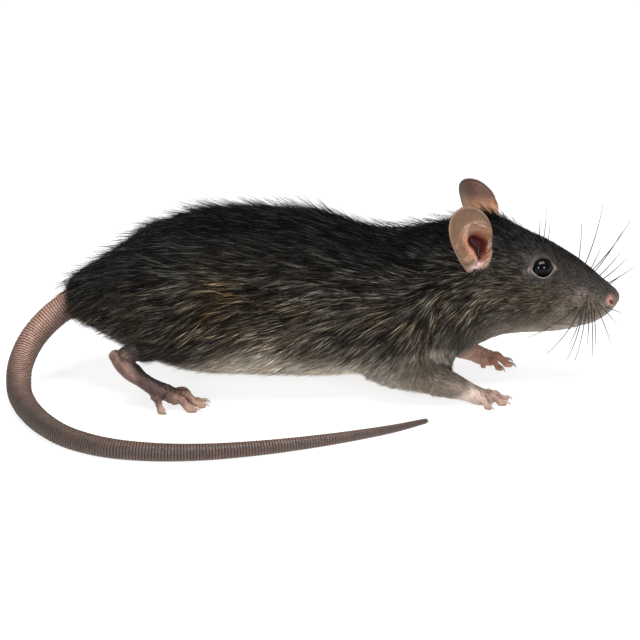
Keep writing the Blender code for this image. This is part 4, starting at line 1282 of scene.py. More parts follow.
@dataclass
class Tail:
    """The tail: a tapering tube of overlapping scale rings, laid round the near side."""

    hanging: tuple = (
        (-77, 0, 30.6), (-81.2, -0.2, 27.7), (-87.4, -1.5, 23.2), (-93.4, -5, 17),
        (-96.7, -11.5, 10.7), (-96.6, -20.5, 6),
    )
    on_floor: tuple = (
        (-93.3, -32.5), (-86.5, -48), (-77.2, -60.5), (-65.6, -68.2), (-51.6, -71.5),
        (-36.6, -71), (-21.5, -67.4), (-6, -61.7), (9.5, -54.3), (25, -45), (34, -37.6),
    )
    root_radius: float = 4.5
    tip_radius: float = 0.72
    taper: float = 0.7
    pressed: float = 0.08
    ring_pitch: float = 0.94
    steps_a_ring: int = 7
    sides: int = 36
    scales_round: int = 24
    scale_height: float = 0.1
    bristle_count: int = 15000

    def radius(self, s: np.ndarray, length: float) -> np.ndarray:
        """Radius at a distance from the root: full there and thinning faster towards the tip."""
        left = np.clip(1 - np.asarray(s) / length, 0, 1)
        return self.tip_radius + (self.root_radius - self.tip_radius) * left**self.taper

    def line(self, count: int) -> tuple:
        """Centre line of the tail in even steps.

        Args:
            count: number of places along it.

        Returns:
            The distance from the root, the point and the radius at each place.
        """
        lying = np.array([(x, y, 0.0) for x, y in self.on_floor])
        knots = np.concatenate([np.array(self.hanging), lying])
        run = path_run(knots)
        length, start = run[-1], len(self.hanging)
        knots[start:, 2] = self.radius(run[start:], length)
        s = np.linspace(0.0, length, count)
        points, radii = through(run, knots, s), self.radius(s, length)
        points[s >= run[start], 2] = radii[s >= run[start]] - self.pressed
        return s, points, radii

    def build(self) -> tuple:
        """The tail's form, the painted colours and the map that its scales follow.

        Each ring of scales climbs from its seam and drops at the next one, and each scale of a ring bulges a
        little between its neighbours; both fade towards the tip.
        """
        length = self.line(20)[0][-1]
        rings = int(length / self.ring_pitch)
        pitch = length / rings
        count = rings * self.steps_a_ring + 1
        s, centre, radii = self.line(count)
        around = turns(self.sides)[None]
        phase = (s / pitch + 1e-6) % 1.0
        saw = self.scale_height * (phase**0.6) * fade(phase, 0.8, 1) - 0.06
        bulge = 0.02 * np.cos(around * self.scales_round / 2 + math.pi * np.floor(s / pitch)[:, None])
        thinning = np.sqrt(radii / self.root_radius)[:, None]
        relief = (saw[:, None] + bulge) * thinning * np.minimum(radii, 2.4)[:, None]
        full = (radii * ease(s, -2, 4) ** 0.2)[:, None] + relief
        full = full * np.sqrt(np.clip((length + 0.05 - s) / 0.9, 0, 1))[:, None]
        rows = rings_along(centre, full, full, around)
        rows[..., 2] = np.maximum(rows[..., 2], 0.0)
        made = closed_tube(rows)
        share = s / length
        base, middle, end = linear((128, 100, 88)), linear((86, 67, 58)), linear((98, 78, 71))
        tone = blend(blend(base, middle, ease(share, 0, 0.35)), end, ease(share, 0.6, 1))
        seam = 1.34 - 1.1 * bell(np.minimum(phase, 1 - phase) / 0.22)
        tone = (tone * seam[:, None])[:, None] * np.ones((1, self.sides, 1))
        # Painted light and shade round the tail: brighter on one side, darker on the other.
        painted_light_share = np.cos(around + 0.35 * math.pi) ** 2
        tone = tone * (0.5 + 0.72 * painted_light_share * np.ones((count, 1)))[..., None]
        colours = np.concatenate([tone.reshape(-1, 3), tone[0, :1], tone[-1, :1]])
        marks = (s / pitch)[:, None] * np.ones((1, self.sides))
        columns = np.broadcast_to(around / (2 * math.pi) * self.scales_round, marks.shape)
        scales = np.stack([columns, marks], axis=-1).reshape(-1, 2)
        scales = np.concatenate([scales, scales[:1], scales[-1:]])
        return made, colours, scales

    def bristles(self) -> tuple:
        """Roots, outward directions and rearward lie of the short stiff hairs between the scales."""
        draw = np.random.default_rng(41)
        s, centre, radii = self.line(1400)
        ways, across, along = path_frame(centre)
        count = self.bristle_count
        at = (draw.uniform(0.03, 1.0, count) ** 0.9 * (len(s) - 2)).astype(int)
        turn = draw.uniform(0, 2 * math.pi, count)
        out = np.cos(turn)[:, None] * across[at] + np.sin(turn)[:, None] * along[at]
        roots = centre[at] + out * radii[at][:, None]
        keep = roots[:, 2] > 0.35
        return roots[keep], out[keep], ways[at][keep], (s / s[-1])[at][keep]


@dataclass
class TuftSet:
    """Arrays that describe many tufts, one a row."""

    roots: np.ndarray
    normals: np.ndarray
    ways: np.ndarray
    lengths: np.ndarray
    widths: np.ndarray
    lifts: np.ndarray
    tones: np.ndarray
    places: np.ndarray
    bows: np.ndarray

    def pick(self, mask: np.ndarray) -> "TuftSet":
        """The tufts that the mask holds."""
        return TuftSet(**{key: value[mask] for key, value in vars(self).items()})

    def build(self, workshop: Workshop, name: str, finish: Material, slot: str, rings: int = 2) -> None:
        """One piece of joined tufts.

        A tuft is a closed three-sided blade. Its middle line leaves the root along the lie, lifted by an
        angle, and bows back towards the skin with the square of its run; its rings shrink to a point.

        Args:
            workshop: puts the piece on the model.
            name: the piece's name.
            finish: its material.
            slot: its material slot.
            rings: rings along a tuft.
        """
        runs = np.linspace(0, 1, rings + 1)[:-1]
        thick = np.interp(runs, (0, 0.35, 0.7, 1), (0.9, 1, 0.62, 0))
        side = unit(np.cross(self.ways, self.normals))
        corner = np.radians([90.0, 210.0, 330.0])[None, :, None]
        around = np.cos(corner) * side[:, None] + 0.55 * np.sin(corner) * self.normals[:, None]
        count, parts = len(self.roots), []
        for run, wide in zip(np.append(runs, 1.0), np.append(thick, 0.0)):
            ahead = self.lengths * np.cos(self.lifts) * run
            lift = self.lengths * np.sin(self.lifts) * run * (1 - self.bows * run)
            middle = self.roots + self.ways * ahead[:, None] + self.normals * (lift - 0.12)[:, None]
            if wide == 0.0:
                parts.append(middle[:, None])
                continue
            parts.append(middle[:, None] + (self.widths * wide / 2)[:, None, None] * around)
        points = np.concatenate(parts, axis=1)
        points[..., 2] = np.maximum(points[..., 2], 0.05)
        pattern = [(0, 2, 1)]
        for ring in range(rings - 1):
            for k in range(3):
                a, b = ring * 3 + k, ring * 3 + (k + 1) % 3
                pattern += [(a, b, b + 3), (a, b + 3, a + 3)]
        last = (rings - 1) * 3
        pattern += [(last + k, last + (k + 1) % 3, rings * 3) for k in range(3)]
        each, pattern = rings * 3 + 1, np.array(pattern)
        trial = Form(points[0], tris=pattern)
        if trial.turned_out() is not trial:
            pattern = pattern[:, ::-1]
        tris = (np.arange(count)[:, None, None] * each + pattern[None]).reshape(-1, 3)
        mesh = workshop.mesh(name, Form(points.reshape(-1, 3), tris=tris))
        share = np.append(np.repeat(runs, 3), 1.0)
        share[0:3] = 0.0 if rings > 1 else 0.4
        parts = [through((0, 0.5, 1), self.tones[:, :, k].T, share).T for k in range(3)]
        workshop.paint(mesh, np.stack(parts, axis=-1).reshape(-1, 3))
        across = np.append(np.tile([0.0, 0.5, 1.0], rings), 0.5)
        offset = np.stack([0.003 * share + np.tile([0.0, 0.0005, 0.0], each)[:each], 0.003 * across], axis=1)
        places = self.places[:, None] + offset[None]
        workshop.map_loops(mesh, "OFBake", places[:, pattern.ravel()].reshape(-1, 2))
        workshop.show(mesh, finish, slot)


@dataclass
class Markings:
    """Colours of the skin and the coat, read from where a point lies on the body."""

    trunk: Trunk
    legs: Legs
    places: tuple = (-80, -50, -20, 10, 35, 50, 65, 80, 96)
    heights: tuple = (0, 0.08, 0.18, 0.28, 0.4, 0.6, 0.8, 1)
    brightness: tuple = (
        (156, 150, 130, 90, 55, 44, 42, 41),
        (160, 154, 130, 90, 55, 45, 41, 37),
        (184, 180, 160, 92, 60, 49, 33, 24),
        (184, 180, 158, 90, 60, 47, 32, 25),
        (120, 108, 97, 80, 58, 49, 34, 27),
        (106, 97, 87, 74, 60, 52, 38, 30),
        (146, 136, 98, 70, 56, 48, 41, 33),
        (154, 143, 127, 106, 86, 65, 46, 40),
        (146, 138, 134, 126, 112, 90, 58, 50),
    )
    warmth: tuple = (0.4, 0.45, 0.5, 0.6, 0.75, 0.7, 0.25, 0)
    # Painted light: a gain by height that brightens the shaded underside and dims the lit back.
    light_gain: tuple = (1.7, 1.6, 1.5, 1.45, 1.4, 1.3, 1, 0.75)

    def warm_share(self, points: np.ndarray, v: np.ndarray) -> np.ndarray:
        """How brown the light hairs are: most on the patch of the flank and in a cloudy band by it."""
        patch = bell((points[:, 0] + 28) / 10, (v - 0.55) / 0.22)
        cloud = ripple(points, 14.0, 9) * np.interp(v, (0.2, 0.5, 0.75), (0.1, 1, 0.2))
        return np.clip(0.15 + 0.7 * patch + 0.35 * (cloud * fade(points[:, 0], 30, 55)), 0, 1)

    def coat(self, points: np.ndarray) -> np.ndarray:
        """Mean coat colour: slate black back, brown flanks, grey-olive below and a cream-grey belly, times a
        painted light gain that brightens the shaded underside and dims the lit back.

        Args:
            points: places on the body.

        Returns:
            The colours, as linear light.
        """
        x, _, z = points.T
        v = self.trunk.height_share(points)
        cloud = ripple(points, 26.0, 5)
        level = np.clip(v + 0.03 * cloud, 0, 1)
        shade = chart(self.brightness, self.places, self.heights, x + 3 * cloud, level)
        warm = np.interp(v, self.heights, self.warmth) + 0.5 * self.warm_share(points, v) - 0.1
        warm = np.maximum(warm, 0.45 * ease(x, 60, 82))
        tint = np.stack([1 + 0.13 * warm, np.ones_like(warm), 1 - 0.17 * warm], axis=1)
        # The painted light gain brightens the low coat and dims the back.
        made = linear(shade[:, None] * tint) * np.interp(v, self.heights, self.light_gain)[:, None]
        for side in Side:
            out = side.out(points)
            reach, _, _ = self.legs.reach(points, self.legs.shank, Limb.HIND, side)
            made = blend(made, linear((66, 60, 55)), fade(reach, 1.2, 1.9) * (out > 12))
            line = self.legs.placed(self.legs.forearm[0], Limb.FORE, side)
            reach, _, _ = self.legs.reach(points, self.legs.forearm, Limb.FORE, side)
            above = z - np.interp(x, line[:, 0], line[:, 2])
            own = blend(linear((141, 128, 115)), linear((96, 86, 76)), ease(above, 1, 4))
            own = blend(own, linear((178, 166, 150)), ease(-above, 1.5, 4) * 0.6)
            made = blend(made, own, fade(reach, 1, 1.35) * ease(x, 24, 34) * (out > 8))
        return made

    def bare(self, points: np.ndarray) -> np.ndarray:
        """Colour of bare skin: mauve-brown shanks, dark along the top of the foot, paler toes and wrists, with a
        painted highlight on the shin, a painted shadow under the sole behind the toes and painted light on the far
        fore paw.

        Args:
            points: places on the body.

        Returns:
            The colours, as linear light.
        """
        x, y, z = points.T
        paint = Paint(x.shape, (108, 84, 74))
        lay = paint.lay
        line = np.array(self.legs.sole[0])
        rear = x - np.where(y > 0, self.legs.hind_shift[Side.LEFT], 0.0)
        above = z - np.interp(rear, line[:, 0], line[:, 2])
        lay((72, 50, 46), ease(rear, -61, -57))
        lay((98, 80, 68), fade(above, -3, -1) * 0.8)
        # Painted highlight on the shin.
        lay((140, 112, 102), bell((rear + 60.5) / 2, (above - 0.2) / 1.2))
        lay((40, 33, 31), ease(above, 1.4, 3.2) * ease(rear, -62, -58))
        lay((128, 100, 90), ease(rear, -49.5, -45.5) * fade(z, 4.6, 6.8))
        lay((141, 115, 101), ease(rear, -44, -40))
        lay((140, 116, 100), bell((rear + 50) / 2) * (np.abs(y) > 27.6) * fade(z, 3.6, 4.6))
        # Painted shadow under the sole, behind the toes.
        lay((84, 30, 26), bell((rear + 47.6) / 1.7, (z - 1.7) / 1.2))
        front = x > 0
        ahead = x - np.where(y > 0, self.legs.fore_shift[Side.LEFT], 0.0)
        above = z - np.interp(ahead, (44, 54), (7.6, 4.2))
        lay((166, 146, 136), front)
        lay((190, 174, 166), front * bell((ahead - 46) / 3.2))
        lay((142, 117, 105), front * ease(ahead, 50.5, 54))
        lay((88, 70, 62), front * ease(ahead, 47, 50) * ease(above, -0.6, 0.6) * 0.8)
        # Painted light: the far fore paw gets a warmer orange than the near one, for how it looks in its shade.
        lay((172, 120, 96), front * (y > 0) * 0.65)
        return paint.colours / 1.27

    def skin(self, points: np.ndarray) -> np.ndarray:
        """Colour of the skin: the coat's colour darkened as painted shade under the coat, bare on feet, nose and
        lips and round the eyes.

        Args:
            points: places on the body.

        Returns:
            The colours, as linear light.
        """
        # Under the coat the skin takes the coat's colour at 0.45, as painted shade beneath the hair.
        paint = blend(self.coat(points) * 0.45, self.bare(points), self.legs.foot_share(points))
        mirrored = points * np.where(points[:, 1:2] < 0, [[1, -1, 1]], [[1, 1, 1]])
        spots = (
            ((71.2, 10, 42.3), (5.8, 3, 4.8), (48, 42, 40), 0.9),
            ((84.3, 9.5, 33.3), (3.2, 3.4, 2.6), (96, 78, 80), 0.9),
            ((79, 7, 22.8), (4, 5, 0.8), (104, 86, 79), 0.8),
            # Painted shade in the corner of the mouth.
            ((76.4, 7, 23.9), (2, 4, 1.2), (84, 52, 48), 0.8),
            ((81.8, 3, 21), (1.6, 5, 1.3), (150, 120, 110), 0.8),
            ((50.5, 14, 44), (4.5, 3, 3.2), (150, 118, 110), 0.6),
            ((96.4, 0, 30.6), (2.4, 3.4, 2.6), (70, 58, 52), 0.9),
            ((93.6, 3.3, 30), (1.15, 3, 1.5), (182, 128, 120), 1),
            ((96.2, 0, 28), (1.3, 2, 1.2), (140, 100, 94), 0.7),
            # Red of the nostrils, darkened as painted shade inside the slits.
            ((93.9, 3.6, 30), (0.5, 1.6, 0.5), (110, 20, 22), 1),
            ((94.5, 3.4, 29.1), (0.5, 1.6, 0.55), (110, 16, 18), 1),
        )
        for centre, spread, colour, strength in spots:
            near = np.exp(-(np.abs((mirrored - centre) / spread) ** 2.5).sum(axis=1))
            paint = blend(paint, linear(colour), strength * near)
        return paint


@dataclass
class Skin:
    """One skin for trunk, neck, head and legs: forms joined, eased into each other and then detailed."""

    trunk: Trunk
    legs: Legs
    core_voxel: float = 0.9
    fine_voxel: float = 0.36
    face_limit: int = 150000

    def core(self, workshop: Workshop) -> Form:
        """Trunk with haunches and upper arms, run together; its head lies a little inside the fine one."""
        parts = [self.trunk.form(-81.0, 97.2, 1.0, 160), *self.legs.upper_forms()]
        made = workshop.run_together(parts, self.core_voxel)
        made = eased_out(made, 1 - ease(made.points[:, 0], 46, 56), 40)
        made.points -= point_normals(made) * (0.6 * ease(made.points[:, 0], 47, 55))[:, None]
        return made

    def build(self, workshop: Workshop) -> Form:
        """The whole skin with its details, in millimetres."""
        parts = [self.core(workshop), self.trunk.form(49.0, 97.2, 0.3, 200), *self.legs.lower_forms()]
        made = workshop.run_together(parts, self.fine_voxel)
        x = made.points[:, 0]
        soft = np.where((x > 44) & (x < 60) & (made.points[:, 2] > 12), 1.0, 0.35)
        made = eased_out(made, soft, 6)
        made.points = self.detailed(made)
        made.points[:, 2] = np.maximum(made.points[:, 2], 0.0)
        keep = np.maximum(self.legs.foot_share(made.points) > 0.05, x > 66)
        total = len(made.quads) * 2 + len(made.tris)
        thin = np.flatnonzero(~keep)
        settings = {"decimate_type": "COLLAPSE", "ratio": min(1.0, self.face_limit / total)}
        made = workshop.reworked(made, "DECIMATE", settings, thin)
        log.info("skin: %d triangles from %d", len(made.quads) * 2 + len(made.tris), total)
        return made

    def detailed(self, made: Form) -> np.ndarray:
        """Points of the skin with mouth, nostrils, lips, whisker mounds and skin folds pressed in or raised.

        Each detail is a bell curve of the distance from its line or centre, pushed outward.

        Args:
            made: the smooth skin.

        Returns:
            The moved points.
        """
        points, normals = made.points, point_normals(made)
        x, y, z = points.T
        side = np.abs(y)
        push = np.zeros(len(points))
        flat = np.stack([x, np.zeros_like(x), z], axis=1)
        mouth = ((74.2, 0.0, 23.6), (77.5, 0.0, 23.2), (80.6, 0.0, 22.4), (82.2, 0.0, 21.2))
        gap, _, share = path_distance(flat, mouth, np.ones(4))
        in_mouth = (x > 72) & (x < 86) & (z < 25)
        deep = ease(share, 0, 0.15)
        push -= 0.8 * bell(gap / 0.55) * in_mouth * (0.35 + 0.65 * deep)
        push += 0.22 * bell((gap - 0.95) / 0.5) * in_mouth
        split = bell(y / 0.32) * ease(x, 85.5, 88) * fade(z, 27.6, 28.8)
        push -= 0.45 * split
        a, b = math.cos(math.radians(-52)), math.sin(math.radians(-52))
        dx, dz = x - 94.3, z - 29.4
        slit = bell((dx * a + dz * b) / 0.95, (-dx * b + dz * a) / 0.4) * (side > 1.2)
        wing = bell((x - 94.9) / 0.8, (z - 30.6) / 0.9) * (side > 1.0)
        push += -1.1 * slit + 0.25 * wing
        row = np.round((z - 23.5) / 1.9)
        rise = z - 23.5 - row * 1.9
        step = x - 79.0 - 0.8 * (row % 2)
        along = step - np.round(step / 1.75) * 1.75
        on_pad = np.exp(-(((x - 84.8) / 4.0) ** 4) - ((z - 28.6) / 4.6) ** 4) * (side > 3)
        push += 0.14 * np.exp(-((rise**2 + along**2) / 0.3)) * on_pad
        foot = self.legs.foot_share(points)
        wrinkle = np.sin(2 * math.pi * (x * 0.8 + z * 0.5) / 0.95 + 1.5 * ripple(points, 5.0, 3))
        push += 0.035 * wrinkle * foot * (z > 1.0)
        tendon = ripple(np.stack([x * 0.15, y, z * 0.3], axis=1), 2.6, 12)
        push += 0.12 * tendon * foot * ease(x, -62, -58) * fade(x, -46, -44)
        return points + normals * push[:, None]


@dataclass(frozen=True)
class Layer:
    """One layer of the coat.

    The number of its tufts on trunk and face and their width count against the coat's own measures, and
    its lift is added in degrees.
    """

    name: str
    density: float
    face_density: float
    width: float
    lift: float
    rings: int


@dataclass
class Coat:
    """The coat: joined tufts rooted on the skin that follow the lie of the hair."""

    trunk: Trunk
    legs: Legs
    eye: Eye
    markings: Markings
    seed: int = 7
    layers: tuple = (Layer("undercoat", 0.8, 0.6, 1, 0, 2), Layer("topcoat", 2.3, 1.95, 0.64, 2, 1))
    lie_places: tuple = (-80, -55, -25, 5, 22, 38, 50)
    lie_heights: tuple = (0, 0.15, 0.3, 0.5, 0.7, 0.85, 1)
    fall: tuple = (
        (-0.1, -0.35, -0.6, -0.6, -0.45, -0.35, -0.2),
        (-0.1, -0.4, -0.7, -0.55, -0.3, -0.15, -0.05),
        (-0.05, -0.25, -0.35, -0.2, -0.05, 0, 0),
        (-0.15, -0.35, -0.45, -0.25, 0, 0.1, 0.05),
        (-0.9, -1.1, -1, -0.4, 0.1, 0.25, 0.15),
        (-3.5, -3.2, -2.2, -0.8, 0, 0.3, 0.25),
        (-2.4, -2.2, -1.5, -0.6, -0.05, 0.2, 0.25),
    )
    length_places: tuple = (-82, -60, -20, 20, 40, 52, 62, 74, 84, 92, 97)
    lengths: tuple = (9.5, 10, 9, 8.6, 7.6, 5.4, 3.8, 2.8, 2, 1.3, 0.8)
    count_places: tuple = (-82, 40, 55, 66, 78, 88, 95)
    counts: tuple = (3.1, 3.3, 5, 7.5, 11, 16, 18)
    shaft_places: tuple = (-80, 40, 60, 80, 95)
    shaft_widths: tuple = (0.27, 0.26, 0.18, 0.135, 0.11)
    shaft_lifts: tuple = (15, 15, 13, 11, 11)
    guard_places: tuple = (-80, -20, 40, 58, 75)
    guard_lengths: tuple = (14, 14, 12, 8, 5)
    bands: tuple = (
        ("rump", -90.0, -56.0),
        ("haunch", -56.0, -38.0),
        ("loin", -38.0, -18.0),
        ("ribs", -18.0, 2.0),
        ("chest", 2.0, 20.0),
        ("shoulder", 20.0, 38.0),
        ("neck", 38.0, 58.0),
        ("head", 58.0, 100.0),
    )

    def lie(self, points: np.ndarray, normals: np.ndarray) -> np.ndarray:
        """Direction of the hair along the skin.

        Rearward on the trunk with a fall read from the chart, away from the nose on the head, down along each
        leg, turned aside round the eyes and ears, and always laid into the skin.

        Args:
            points: places on the skin.
            normals: the direction outward there.

        Returns:
            The directions, each at length one.
        """
        x, y, z = points.T
        v = self.trunk.height_share(points)
        fall = chart(self.fall, self.lie_places, self.lie_heights, x, v)
        way = np.stack([-np.ones_like(x), 0.15 * np.sign(y) * (v > 0.9), fall], axis=1)
        nose = unit(points - (101.0, 0.0, 31.0))
        nose[:, 2] += 0.25 * ease(v, 0.6, 0.9) - 0.35 * fade(v, 0.15, 0.5) * ease(x, 50, 66)
        way = blend(unit(way), nose, ease(x, 48, 62))
        legs = self.legs
        for side in Side:
            own = side.out(points) > 0
            for part, limb, near in (
                (legs.forearm, Limb.FORE, 1.25), (legs.shank, Limb.HIND, 1.15), (legs.sole, Limb.HIND, 1.5),
            ):
                reach, along, share = legs.reach(points, part, limb, side)
                amount = 1 - ease(reach, near * 0.85, near * 1.15)
                if limb is Limb.FORE:
                    amount = amount * ease(share, 0.35, 0.7)
                way = blend(way, along, amount * own)
            paw = ease(x - legs.shift(Limb.FORE, side), 44, 48) * fade(z, 8, 10)
            way = blend(way, np.array([1.0, 0.0, -0.2]), paw * own)
        way = unit(laid_in(way, normals))
        for centre, near, far in self.obstacles():
            away = unit(laid_in(points - centre, normals))
            towards = np.minimum((way * away).sum(1), 0.0) * fade(apart(points, centre), near, far)
            way = way - 1.1 * towards[:, None] * away
        calm = 1 - 0.35 * ease(x, 45, 60)
        swirl = (0.13 * ripple(points, 17.0, 21) + 0.12 * ripple(points, 3.4, 22)) * calm
        way = unit(way) + np.cross(normals, unit(way)) * swirl[:, None]
        return unit(laid_in(way, normals))

    def obstacles(self) -> list:
        """Centres that the hair turns aside from, with the distances at which it begins and ends to."""
        made = []
        for side in Side:
            made.append((np.array(self.eye.centre) * side.flip, 5.2, 8.0))
            root, _, up, _ = Ear(side).axes()
            made.append(((root + up * 3.0 + (0.5, -1.5, 0.0)) * side.flip, 5.0, 8.5))
        return made

    def length(self, points: np.ndarray) -> np.ndarray:
        """Hair length: long on rump and back, short on the face, shortest on muzzle and feet."""
        x, legs = points[:, 0], self.legs
        made = through(self.length_places, self.lengths, x)
        v = self.trunk.height_share(points)
        made = made * (0.5 + 0.5 * ease(v, 0, 0.35))
        made = made * (1 - 0.35 * bell((x - 30) / 16) * ease(v, 0.75, 0.95))
        made = made * (0.32 + 0.68 * ease(apart(points, TAIL_ROOT), 4, 15))
        for side in Side:
            own = side.out(points) > 0
            reach, _, share = legs.reach(points, legs.forearm, Limb.FORE, side)
            low = fade(reach, 0.95, 1.3) * own
            made = made * (1 - low * (0.25 + 0.45 * ease(share, 0.35, 0.9)))
            reach, _, share = legs.reach(points, legs.shank, Limb.HIND, side)
            low = fade(reach, 1, 1.2) * ease(share, 0.2, 0.75) * own
            made = made * (1 - 0.78 * low)
            reach = apart(points, np.array(self.eye.centre) * side.flip)
            made = made * (0.45 + 0.55 * ease(reach, 4.4, 7.5))
        foot = legs.foot_share(points)
        return made * (1 - foot) + 1.25 * foot

    def density(self, points: np.ndarray, normals: np.ndarray) -> np.ndarray:
        """Tufts a square millimetre: more where they are shorter, none on eyes, nose, lips and the soles.

        Args:
            points: places on the skin.
            normals: the direction outward there.

        Returns:
            The number, before a layer's share.
        """
        x, y, z = points.T
        made = through(self.count_places, self.counts, x)
        foot = self.legs.foot_share(points)
        made = made * (1 - foot) + 7.0 * foot * ease(normals[:, 2], -0.5, 0.1) * ease(z, 2.2, 3.6)
        mirrored = np.abs(y)
        look, _, _ = self.eye.axes()
        to_eye = np.stack([x, mirrored, z], axis=1) - self.eye.centre
        outward = to_eye @ look
        eye = np.linalg.norm(to_eye - outward[:, None] * look, axis=1)
        made = made * np.where(np.abs(outward) < 6.0, ease(eye, 3.7, 4), 1.0)
        nostril = np.hypot(x - 93.7, z - 30.1)
        made = made * np.where((x > 92.0) & (mirrored > 0.8), ease(nostril, 0.95, 1.4), 1.0)
        made = made * fade(x, 96.2, 97)
        star = np.hypot(x - 84.3, z - 33.3)
        ray = 1 + 0.55 * np.cos(5 * np.arctan2(z - 33.3, x - 84.3) + 0.8)
        made = made * np.where((mirrored > 4) & (z > 26), 0.06 + 0.94 * ease(star, 1.1 * ray, 2.1 * ray), 1.0)
        from_mouth = np.abs(z - 22.9 + 0.13 * (x - 75.5))
        lips = np.where((x > 75.5) & (x < 83.5) & (z < 24), ease(from_mouth, 0.5, 1), 1.0)
        return np.maximum(made * lips * ease(apart(points, TAIL_ROOT), 4.2, 5.4), 0)

    def places(self, points: np.ndarray) -> np.ndarray:
        """Place on an unwrap of the skin: along X within its band, and round the trunk or the leg."""
        x, y, z = points.T
        edges = np.array([b[1] for b in self.bands] + [self.bands[-1][2]])
        band = np.clip(np.searchsorted(edges, x) - 1, 0, len(self.bands) - 1)
        u = (x - edges[band]) / (edges[band + 1] - edges[band])
        top, bottom, _ = self.trunk.measures(x)
        belt = bottom + self.trunk.belt * (top - bottom)
        turn = np.arctan2(z - belt, np.abs(y)) / math.pi + 0.5
        v = 0.02 + 0.74 * np.clip(turn, 0, 1)
        on_leg, legs = np.zeros(len(points), bool), self.legs
        for side in Side:
            for part, limb in ((legs.forearm, Limb.FORE), (legs.sole, Limb.HIND), (legs.shank, Limb.HIND)):
                line = legs.placed(part[0], limb, side)
                reach, _, _ = legs.reach(points, part, limb, side)
                near = (reach < 1.05) & (side.out(points) > 0) & ((x > 36) | (x < 0))
                middle = np.interp(x, np.sort(line[:, 0]), line[np.argsort(line[:, 0]), 2])
                round_leg = np.arctan2(z - middle, y - line[:, 1].mean()) / (2 * math.pi) + 0.5
                v = np.where(near & ~on_leg, 0.79 + 0.19 * np.clip(round_leg, 0, 1), v)
                on_leg |= near
        return np.stack([0.02 + 0.94 * np.clip(u, 0, 1), v], axis=1)

    def tones(self, points: np.ndarray, draw: np.random.Generator) -> np.ndarray:
        """Colour at root, middle and tip of each tuft: dark, middling and light banded hairs are mixed, and the
        light hairs also stand in for the gloss of the coat as painted glints.

        Args:
            points: the tufts' roots.
            draw: the source of chance.

        Returns:
            Three colours for each tuft.
        """
        mean, count = self.markings.coat(points), len(points)
        x, v = points[:, 0], self.trunk.height_share(points)
        streak = ripple(points * (0.22, 1.0, 1.0), 1.5, 33) * (1 - 0.6 * ease(x, 50, 70))
        kind = draw.uniform(size=count) + 0.1 * ripple(points, 5.0, 31) + 0.17 * streak
        is_dark, is_light = kind < 0.42, kind > 0.77
        # Light hairs: pale banded hairs on the flanks, and towards the back ever stronger painted glints in place
        # of the hair's gloss.
        light = np.interp(v, (0, 0.3, 0.6, 0.85), (1.65, 2.75, 4.4, 6.8))
        spread = np.exp(draw.normal(size=count) * (0.5 + 0.1 * ease(x, 52, 68)))
        strength = np.where(is_dark, 0.06, np.where(is_light, light, 0.75)) * spread
        strength = np.minimum(strength, np.interp(x, (50, 64, 80), (8, 6, 2.8)))
        calm = np.interp(v, (0, 0.16, 0.24, 0.36), (0.8, 0.7, 0.45, 0.05))
        calm = calm + 0.2 * ease(x, 50, 70) * fade(v, 0.5, 0.8)
        calm = calm + 0.5 * bell((x - 44) / 9) * fade(v, 0.2, 0.4)
        strength = strength ** (1 - np.clip(calm, 0, 0.8))
        warm = self.markings.warm_share(points, v)
        tan = blend(np.array([1.04, 1.0, 0.92]), np.array([1.16, 1.0, 0.74]), warm)
        # Some light hairs get a blue-white tint as painted glints.
        glint_tinted = (draw.uniform(size=count) < 0.4) & (x < 60)
        tan = np.where(glint_tinted[:, None], [0.9, 1.0, 1.12], tan)
        # Slate tint of the back ridge, which also turns its light hairs into blue-grey painted glints.
        slate = np.where(((v > 0.85) & (x < 52))[:, None], [0.92, 1.0, 1.1], 1.0)
        tint = np.where((is_light & (v < 0.8))[:, None], tan, slate)
        middle = mean * strength[:, None] * tint
        foot = (self.legs.foot_share(points) > 0.4)[:, None]
        pale = ease(x, 20, 30) * fade(points[:, 2], 5.5, 7.5) * (draw.uniform(size=count) < 0.6)
        own = blend(linear((60, 49, 45)), linear((186, 172, 164)), pale)
        middle = np.where(foot, own * draw.lognormal(0.0, 0.4, count)[:, None], middle)
        root = np.where(is_light[:, None], 0.3, 0.6) * middle
        return np.stack([root, middle, middle * 0.75], axis=1)

    def build(self, workshop: Workshop, skin: Form, finish: Material) -> None:
        """All pieces of the coat: two layers in bands along the body, and the long guard hairs.

        Args:
            workshop: puts the pieces on the model.
            skin: the skin that the tufts are rooted on.
            finish: the hairs' material.
        """
        draw = np.random.default_rng(self.seed)
        density = self.density(skin.points, point_normals(skin)) * 1.0
        for layer in self.layers:
            share = ease(skin.points[:, 0], 48, 60)
            number = layer.density * (1 - share) + layer.face_density * share
            roots, out = scattered(skin, density * number, draw)
            count = len(roots)
            x, foot = roots[:, 0], self.legs.foot_share(roots)
            widths = np.interp(x, self.shaft_places, self.shaft_widths) * draw.uniform(0.75, 1.25, count)
            widths = widths * layer.width
            lifts = np.interp(x, self.shaft_places, self.shaft_lifts) + layer.lift
            lifts = lifts + draw.normal(0, 3.5, count)
            whole = TuftSet(
                roots,
                out,
                unit(self.lie(roots, out) + 0.09 * draw.normal(size=(count, 3))),
                self.length(roots) * draw.uniform(0.7, 1.15, count),
                widths * (1 - foot) + 0.1 * foot,
                np.radians(np.clip(lifts * (1 - 0.35 * foot), 3, 45)),
                self.tones(roots, draw),
                self.places(roots),
                np.full(count, 0.4),
            )
            log.info("%s: %d tufts", layer.name, count)
            for name, start, end in self.bands:
                for side in Side:
                    mask = (x >= start) & (x < end) & (side.out(roots) > 0)
                    slot = "grey_fur" if name == "head" else "dark_fur"
                    piece = f"{layer.name}_{name}_{side.word}"
                    whole.pick(mask).build(workshop, piece, finish, slot, layer.rings)
        self.guard_hairs(workshop, skin, finish, draw)

